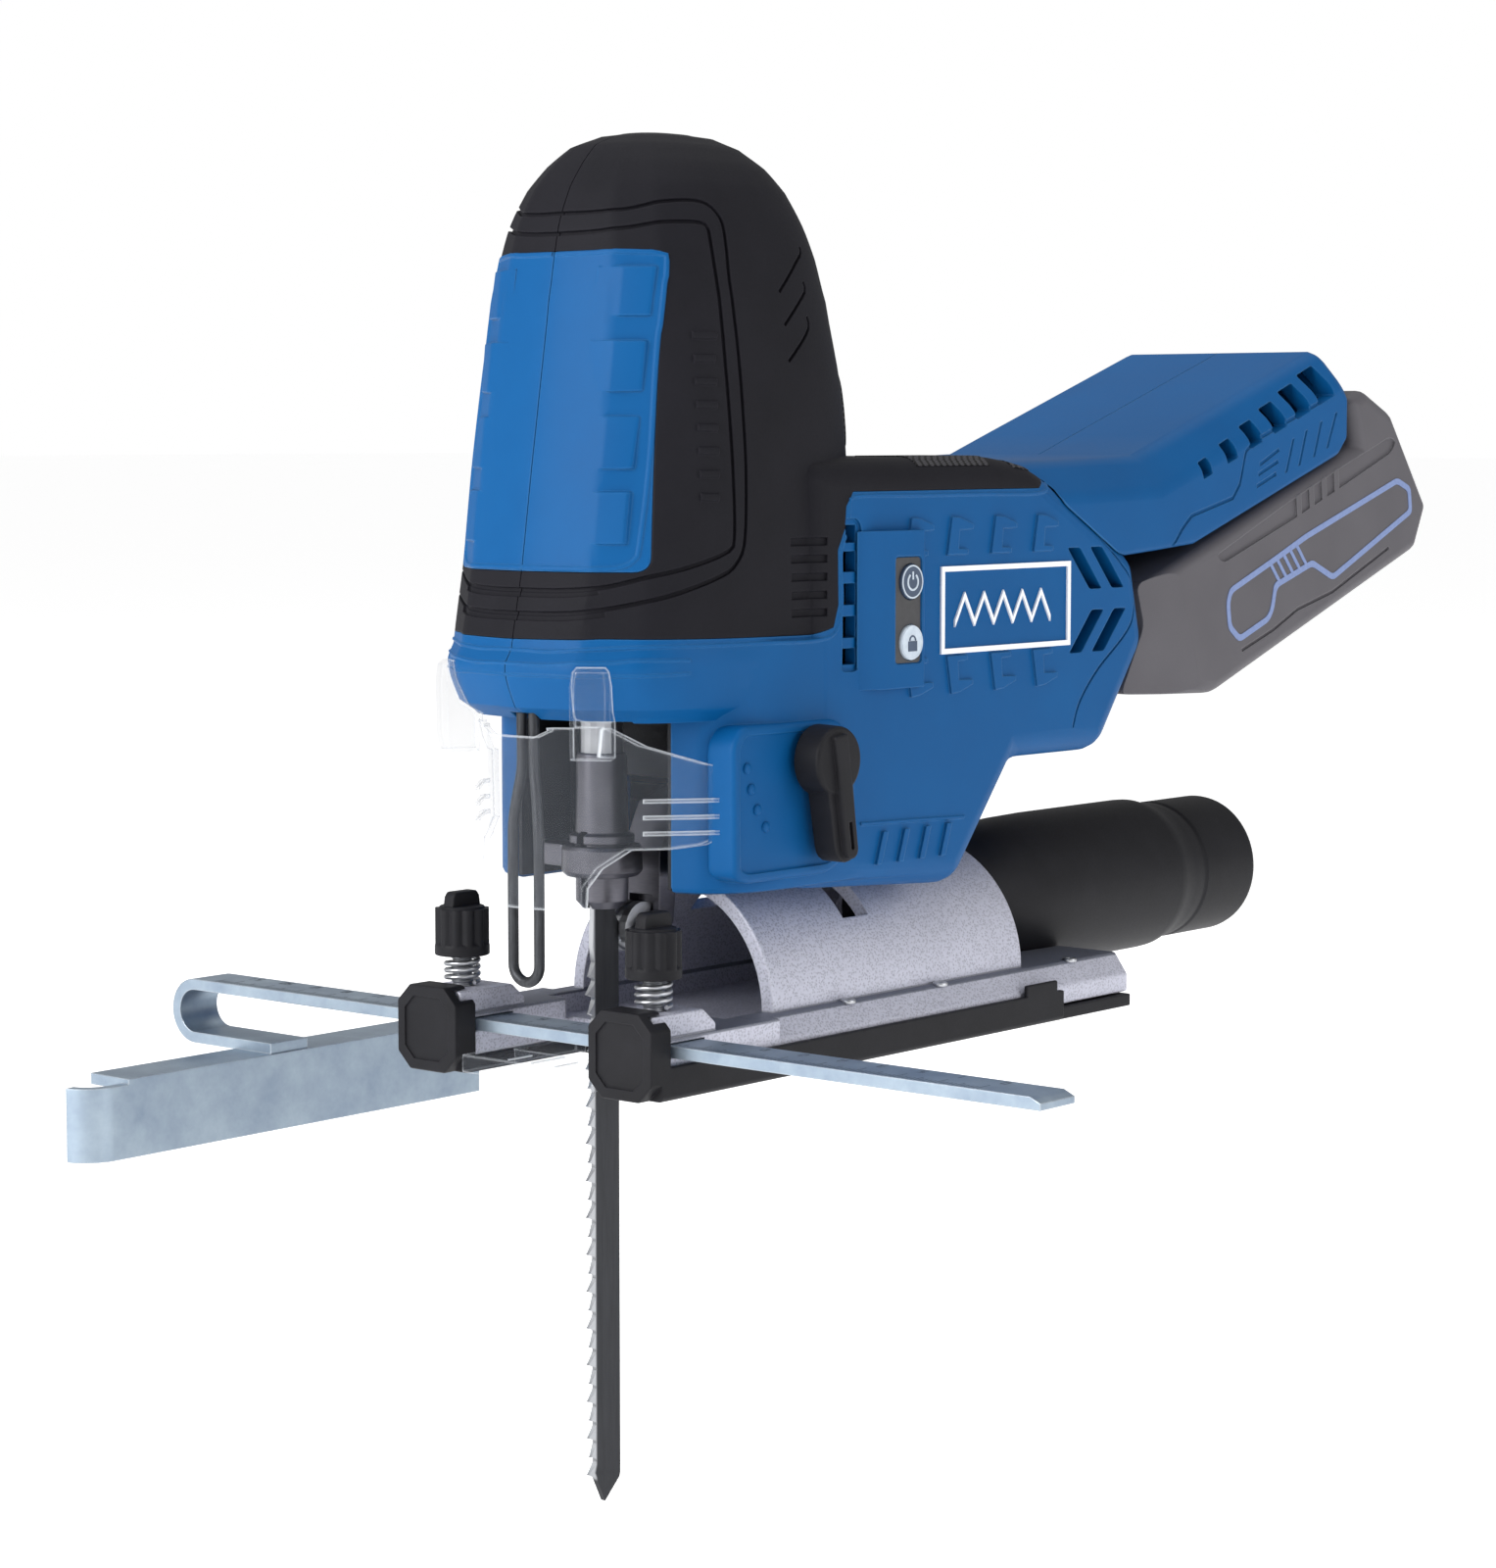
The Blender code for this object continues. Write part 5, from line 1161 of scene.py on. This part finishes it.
dial = eased(turned("selector_knob", (KY, KZ), ((38.6, 7.5), (44.6, 7.3), (45.2, 6.8)), "x", 64),
             0.4)
join(dial, eased(prism("lever", lever(-2.0, 21.8, 4.4, 3.8), "x", 38.9, 44.8), 0.5),
     eased(prism("ridge", lever(-5.6, 21.0, 2.1, 2.0), "x", 44.0, 46.4), 0.5))
cut(dial, prism("slit", lever(13.0, 19.0, 0.55, 0.55), "x", 45.6, 47.0),
    turned("socket", (KY, KZ), ((30.0, 3.5), (43.0, 3.5)), "x", 32))
place(dial, moulded, "orbit_selector", "orbit_knob", slot="black_plastic")
for number, (y, z) in enumerate(((3.6, 66.4), (4.9, 62.0), (6.9, 57.6), (9.6, 53.8))):
    pip = turned("selector_pip_%d" % number, (y, z),
                 ((36.9, 1.15), (37.4, 1.15), (37.65, 0.85), (37.75, 0.4)), "x", 24)
    place(pip, shell_blue, "housing", slot="blue_plastic", smooth=70)

# ---------------------------------------------------------------- blade bay
# The front of the gearbox shows in the bay as a dark grey casting.  A bent black wire guards the
# blade, which a sprung collar locks in a turned steel clamp.

dark_cast = Finish("dark_casting", Metallic=0.55)
speck = dark_cast.noise(0.5, 3.0, 0.7)
dark_cast.set(Base_Color=dark_cast.mix(speck, tint(18, 19, 22), tint(44, 46, 51)),
              Roughness=0.42 + speck * 0.2)
dark_cast.bump(speck, 0.08, dark_cast.edge(0.4), 0.5)
liner = block("gearbox_front", (-21.85, 21.85), (-2.6, 13.85), (40.5, 76.2))
cut(liner, block("room", (-20.9, 20.9), (-40.0, 12.9), (30.0, 75.3)),
    block("arm_way", (-7.5, 7.5), (10.0, 30.0), (34.0, 62.0)),
    turned("clamp_way", (0.0, 0.0), ((70.0, 7.3), (90.0, 7.3)), "z", 48))
cut(liner, turned("saddle", (0.0, TILT_Z), ((-30.0, DOME_R + 0.6), (120.0, DOME_R + 0.6)), "y", 64))
for x in (-14.5, 14.5):
    join(liner, block("web", (x - 0.6, x + 0.6), (9.6, 13.2), (43.0, 75.6)))
place(liner, dark_cast, "housing", slot="cast_silver")

wire_black = Finish("black_wire", Metallic=0.75)
draw = wire_black.noise(0.6, 2.0, 0.6, wire_black.stretched(1.0, 1.0, 0.15))
wire_black.set(Base_Color=wire_black.mix(draw, tint(40, 41, 44), tint(74, 76, 80)),
               Roughness=0.34 + draw * 0.16)
wire_black.bump(draw, 0.02, strength=0.4)
leg = flow([(0.0, 1.7, -22.6, 81.0), (1.0, 1.7, -22.6, 73.0), (2.0, 1.8, -22.6, 66.0),
            (3.0, 2.7, -23.0, 60.5), (4.0, 3.5, -23.4, 55.0), (5.0, 3.7, -23.4, 48.0),
            (6.0, 3.7, -23.4, 25.4)], 5)
leg = [row[1:] for row in leg]
hoop = [(a, -23.4, b) for a, b in arc(0.0, 25.2, 3.7, 19, 0, -180)]
guard = wire("guard_wire", leg + hoop[1:-1] + [(-x, y, z) for x, y, z in reversed(leg)], 1.15, 16)
place(guard, wire_black, "housing", "wire_guard", slot="black_plastic", smooth=60)

brushed = Finish("gear_steel", Metallic=1.0)
rings = brushed.noise(0.35, 2.0, 0.6, brushed.stretched(0.15, 0.15, 1.0))
stain = brushed.noise(7.0, 3.0, 0.6)
brushed.set(Base_Color=brushed.mix(stain * 0.6 + rings * 0.4, tint(76, 76, 84),
                                   tint(124, 123, 130)),
            Roughness=0.30 + rings * 0.2)
brushed.bump(rings, 0.03, brushed.edge(0.3), 0.5)
clamp = turned("blade_clamp_body", (0.0, 0.0), (
    (35.0, 4.2), (35.5, 4.6), (36.6, 5.6), (41.6, 5.6), (41.9, 6.0), (48.8, 6.0), (49.0, 6.9),
    (50.6, 6.9), (50.9, 6.2), (51.2, 5.7), (60.0, 5.4), (67.2, 5.4), (68.0, 5.0)), "z", 72)
cut(clamp, block("slit", (-0.95, 0.95), (-9.0, 9.0), (30.0, 51.5)),
    turned("socket", (0.0, 0.0), ((62.6, 4.8), (75.0, 4.8)), "z", 32))
place(clamp, brushed, "plunger", "blade_clamp", slot="bright_steel", smooth=28)
collar = tube("locking_collar", (0.0, 0.0), (
    (41.9, 6.3), (41.9, 7.6), (42.4, 8.2), (43.0, 8.6), (47.6, 8.6), (48.4, 8.1),
    (48.4, 6.3)), "z", 72)
tab = [(-8.0, -3.8), (-8.0, 3.8), (-12.0, 3.4), (-15.4, 2.7), (-17.0, 1.4), (-17.4, 0.0),
       (-17.0, -1.4), (-15.4, -2.7), (-12.0, -3.4)]
join(collar, eased(prism("tab", tab, "z", 43.4, 48.2), 0.5))
place(collar, brushed, "clamp_collar", "clamp_collar", slot="bright_steel", smooth=28)

# ---------------------------------------------------------------- blade
# Wood blade stamped from 1.2 mm carbon steel, blackened, its coarse teeth ground bright on
# alternate sides and set a little to each side.

blackened = Finish("blade_steel", Metallic=0.8)
x, y, z = blackened.axes()
bright = blackened.node("ShaderNodeMapRange", {"interpolation_type": "SMOOTHSTEP"}, {
    "Value": y * -1.0, "From Min": 2.7, "From Max": 3.4})
draw = blackened.noise(1.2, 3.0, 0.6, blackened.stretched(1.0, 1.0, 0.1))
tone = blackened.mix(draw, tint(42, 43, 46), tint(66, 67, 71))
blackened.set(Base_Color=blackened.mix(bright * 0.85, tone, tint(190, 192, 196)),
              Roughness=0.42 + draw * 0.14 - bright * 0.16)
blackened.bump(draw, 0.03, strength=0.5)
THICK, PITCH, TEETH = 0.6, 4.0, 28
points = [(3.4, 51.0), (3.4, 33.0), (4.5, 31.5), (4.5, -88.3), (4.2, -89.4), (-0.4, -93.8),
          (-3.2, -88.2)]
for k in reversed(range(TEETH)):
    top = 24.0 - PITCH * k
    points += [(-5.0, top - PITCH + 0.7), (-4.6, top - PITCH + 1.0), (-3.3, top - 1.2),
               (-3.0, top - 0.5), (-3.1, top)]
points += [(-3.6, 27.0), (-3.4, 33.0), (-3.4, 51.0)]
blade = prism("wood_blade", points, "x", -THICK, THICK)
work = bmesh.new()
work.from_mesh(blade.data)
for corner in work.verts:
    y, z = corner.co.y * 1000 + 61.0, corner.co.z * 1000
    if y < -4.5:
        lean = 1 if int(round((24.0 - z) / PITCH)) % 2 else -1
        corner.co.x = (corner.co.x * 1000 * 0.55 + lean * 0.28) * 0.001
work.to_mesh(blade.data)
work.free()
place(blade, blackened, "plunger", "blade", slot="blade_steel", smooth=20)

# ---------------------------------------------------------------- chip cover
# Clear polycarbonate shield round the bay, hung from two clips on the chin, with three finger
# ribs on each wing.  It pulls off forward.

COVER = ((0.0, -28.0), (7.0, -27.2), (12.5, -24.4), (17.5, -19.2), (22.5, -13.4), (27.5, -7.4),
         (31.4, -2.6), (33.6, 1.2), (34.0, 24.0))
wing = [(float(k), *p) for k, p in enumerate(COVER[:8])]
wing = [row[1:] for row in flow(wing, 4)]


def cover_form(depth, low, high):
    """Solid inside the shield's wall, drawn in a little toward the bottom."""
    outline = [(0.0, -28.0)] + wing[1:] + [(34.0, 24.0), (-34.0, 24.0)]
    outline += [(-x, y) for x, y in reversed(wing[1:])]
    return loft("cover", [[(x, y, z) for x, y in inset(outline, depth + trim)]
                          for z, trim in ((low, 1.0), (high, 0.0))])


shield = cover_form(0.0, 37.4, 75.2)
shield.name = "chip_shield"
cut(shield, cover_form(1.5, 30.0, 90.0))
side_view = [(-21.0, 20.0), (60.0, 20.0), (60.0, 53.5), (3.0, 52.9), (-2.0, 50.6), (-8.0, 49.7),
             (-14.0, 49.7), (-18.4, 46.0), (-20.6, 42.0)]
cut(shield, prism("trim", side_view, "x", -60.0, 60.0))
top_view = [(-24.0, 80.0), (-19.0, 76.0), (-12.0, 71.3), (-2.1, 67.5), (5.0, 66.0),
            (60.0, 66.0), (60.0, 80.0)]
cut(shield, prism("shoulder", top_view, "x", -60.0, 60.0))
cut(shield, prism("brow", [(-7.6, 80.0), (-9.0, 74.6), (-6.0, 73.2), (6.0, 73.2), (9.0, 74.6),
                           (7.6, 80.0)], "y", -40.0, -20.0))
cut(shield, block("open_back", (-60, 60), (1.3, 90.0), (20.0, 95.0)))
for side in (1, -1):
    start = Vector((side * 16.5, -20.0))
    wide = Vector((math.cos(0.6), side * math.sin(0.6)))
    out = Vector((side * math.sin(0.6), -math.cos(0.6)))
    rings = []
    for z, grow, reach in ((69.0, 0.0, 7.6), (72.0, 0.0, 8.4), (84.0, 0.0, 8.6), (87.0, -0.4, 8.2),
                           (88.0, -1.2, 7.2)):
        base = (start + wide * (4.2 + grow) + out * (reach - 1.0),
                start + wide * (3.2 + grow) + out * reach,
                start - wide * (3.2 + grow) + out * reach,
                start - wide * (4.2 + grow) + out * (reach - 1.0),
                start - wide * (4.2 + grow), start + wide * (4.2 + grow))
        rings.append([(p.x, p.y, z) for p in base])
    clip = loft("clip", rings)
    cut(clip, column(-0.4, count=60), cover_form(1.4, 30.0, 95.0))
    join(shield, clip)
    for z in (60.0, 56.6, 53.3):
        rib = [(side * x, y) for x, y in ((23.2, -13.0), (27.6, -7.8), (31.4, -3.2), (33.2, 0.4),
                                          (34.2, -0.3), (32.2, -3.9), (28.3, -8.5), (23.9, -13.8))]
        join(shield, prism("rib", rib, "z", z - 0.45, z + 0.45))
place(shield, clear, "chip_cover", "chip_cover", slot="clear_plastic", smooth=28)

# ---------------------------------------------------------------- battery pack
# Slide-in pack in warm grey moulded plastic, with a pale blue line round the label field, finger
# ribs, a long pressed channel, and a sprung release on its rear edge.

pack_grey = Finish("pack_grey", Specular_IOR_Level=0.30)
fine = pack_grey.noise(0.45, 3.0, 0.7)
haze = pack_grey.noise(18.0, 2.0, 0.5)
rub = pack_grey.edge_wear_and_sheen(0.6)
pack_grey.set(Base_Color=pack_grey.mix(
    rub * 0.6, pack_grey.mix(haze * 0.6 + fine * 0.4, tint(74, 72, 77), tint(94, 92, 97)),
    tint(134, 133, 138)), Roughness=0.46 + fine * 0.14)
pack_grey.bump(fine, 0.035, pack_grey.edge(0.5), 0.5)
PACK = ((176.4, 44.6), (176.4, 34.0), (166.0, 20.5), (196.0, 9.0), (296.0, 9.0), (305.0, 18.0),
        (295.0, 47.0), (284.0, 57.0), (276.6, 57.0), (276.6, 44.6))
PACK_IN = ((192.0, 41.6), (190.0, 33.0), (184.0, 18.0), (197.0, 12.2), (294.6, 12.2), (301.0, 18.6),
           (291.6, 45.4), (284.0, 41.6))


def slide_prism(name, outline, low, high):
    return prism(name, [slope(s, t) for s, t in outline], "x", low, high)


pack = pillow("battery_shell", [slope(s, t) for s, t in PACK], 36.0, 3.4, 2.4)
join(pack, slide_prism("rail", [(203.0, 43.6), (276.8, 43.6), (276.8, 53.4), (203.0, 53.4)],
                       -17.8, 17.8))
cut(pack, pillow("hollow", [slope(s, t) for s, t in PACK_IN], 32.0, 1.0, 1.0, steps=2))
for x in (-8.0, 8.0):
    cut(pack, slide_prism("contact", [(198.0, 47.6), (212.0, 47.6), (212.0, 52.4), (198.0, 52.4)],
                          x - 1.0, x + 1.0))
cut(pack, slide_prism("pocket", [(282.0, 50.0), (294.0, 50.0), (294.0, 64.0), (282.0, 64.0)],
                      -11.0, 11.0))
for side in (1, -1):
    chamfer = [(side * x, *slope(s, t)) for t in (0.0, 70.0)
               for s, x in ((160.0, 28.0), (190.0, 36.05), (190.0, 50.0), (160.0, 50.0))]
    cut(pack, loft("chamfer", [chamfer[:4], chamfer[4:]]))
    span = sorted((side * 35.4, side * 40.0))
    channel = [(205.5, 41.0), (240.0, 42.0), (267.0, 41.9), (291.0, 41.6), (294.0, 39.6),
               (291.0, 37.6), (268.0, 37.4), (242.0, 37.4), (208.0, 38.2)]
    cut(pack, slide_prism("channel", rounded_off(channel, 1.5, 3), *span))
    for k in range(4):
        s = 243.0 + 6.2 * k
        join(pack, slide_prism("rib", [(s, 37.0), (s + 2.2, 37.0), (s + 3.4, 42.4),
                                       (s + 1.2, 42.4)], *sorted((side * 35.0, side * 36.0))))
    step = [(209.1, 15.4), (224.3, 15.0), (236.1, 15.8), (253.1, 14.0), (282.3, 15.0),
            (282.5, 14.2), (253.1, 13.2), (236.1, 15.0), (224.3, 14.2), (209.1, 14.6)]
    cut(pack, slide_prism("step", step, *span))
place(pack, pack_grey, "battery", "battery_case", "battery_tray", slot="pack_grey", smooth=28)

stripe_blue = Finish("stripe_blue", Roughness=0.5)
stripe_blue.set(Base_Color=stripe_blue.mix(stripe_blue.noise(1.0), tint(104, 122, 168),
                                           tint(126, 144, 188)))
stripe_blue.bump(stripe_blue.noise(0.4), 0.03)
LABEL = [(208.5, 31.5), (227.4, 31.7), (245.4, 32.1), (291.5, 30.5), (297.1, 26.0), (295.9, 19.2),
         (253.8, 16.4), (245.6, 23.3), (228.6, 24.0), (225.5, 19.2), (222.6, 17.4), (208.5, 17.4),
         (204.9, 22.3), (206.0, 28.7)]
for side, word in ((1, "left"), (-1, "right")):
    span = sorted((side * 35.7, side * 36.18))
    stripe = slide_prism("label_stripe_" + word, rounded_off(LABEL, 1.6, 4), *span)
    cut(stripe, slide_prism("field", rounded_off(inset(LABEL, 1.5), 1.2, 4), -50.0, 50.0))
    for k in range(5):
        s = 227.0 + 3.2 * k
        join(stripe, slide_prism("bar", [(s, 30.8), (s + 1.1, 30.8), (s + 4.0, 24.4),
                                         (s + 2.9, 24.4)], *span))
    place(stripe, stripe_blue, "battery", slot="pack_grey", smooth=20)

key = [(282.4, 52.2), (293.6, 52.2), (293.6, 56.2), (291.0, 58.6), (282.4, 58.6)]
release = eased(slide_prism("release_key", key, -10.6, 10.6), 0.6)
for k in range(4):
    s = 283.4 + 1.9 * k
    cut(release, slide_prism("grip_line", [(s, 58.2), (s + 0.8, 58.2), (s + 0.8, 60.0), (s, 60.0)],
                             -8.0, 8.0))
place(release, moulded, "release_button", "release_button", slot="black_plastic")

# ---------------------------------------------------------------- works inside the housing
# Turned and cut steel, sintered bronze guides, wound copper and green boards keep their frame
# shapes, each in its own finish.

copper = Finish("copper", Metallic=0.9)
turns = abs((copper.noise(1.1, 1.0, 0.4) * 14.0).wave())
copper.set(Base_Color=copper.mix(turns, tint(96, 48, 24), tint(196, 112, 62)),
           Roughness=0.28 + turns * 0.2)
copper.bump(turns, 0.2, strength=0.7)
bronze = Finish("bronze", Metallic=0.95)
pores = bronze.cells(0.5)
bronze.set(Base_Color=bronze.mix(pores, tint(112, 84, 44), tint(180, 142, 84)),
           Roughness=0.36 + pores * 0.2)
bronze.bump(pores, 0.05, strength=0.5)
green = Finish("board_green", Coat_Weight=0.4)
tracks = (green.cells(2.4, "DISTANCE_TO_EDGE") < 0.1) * 0.7
green.set(Base_Color=green.mix(tracks, tint(18, 74, 46), tint(58, 128, 84)),
          Roughness=0.35 + tracks * 0.1)
green.bump(tracks, 0.05, strength=0.5)
cell_green = Finish("cell_green", Roughness=0.3)
wrap = cell_green.noise(5.0, 3.0, 0.6)
cell_green.set(Base_Color=cell_green.mix(wrap, tint(34, 104, 84), tint(52, 132, 108)))
cell_green.bump(wrap, 0.1, strength=0.3)

INSIDE = {
    plated: ("plunger", "orbit_pin", "roller_pin", "roller", "gear_axle", "bearing_front",
             "bearing_rear", "tilt_clamp_plate", "tilt_clamp_bolt"),
    brushed: ("yoke", "drive_gear", "rotor_shaft", "orbit_shaft", "orbit_arm", "stator"),
    cast: ("gear_frame", "rotor_core"),
    moulded: ("fan",),
    bronze: ("lower_guide", "upper_guide", "terminal_block"),
    copper: ("winding_front", "winding_rear"),
    green: ("control_board", "switch_board"),
    cell_green: ("cell_pack",),
}
for finish, names in INSIDE.items():
    for name in names:
        cad[name].data.materials.clear()
        cad[name].data.materials.append(finish.material)
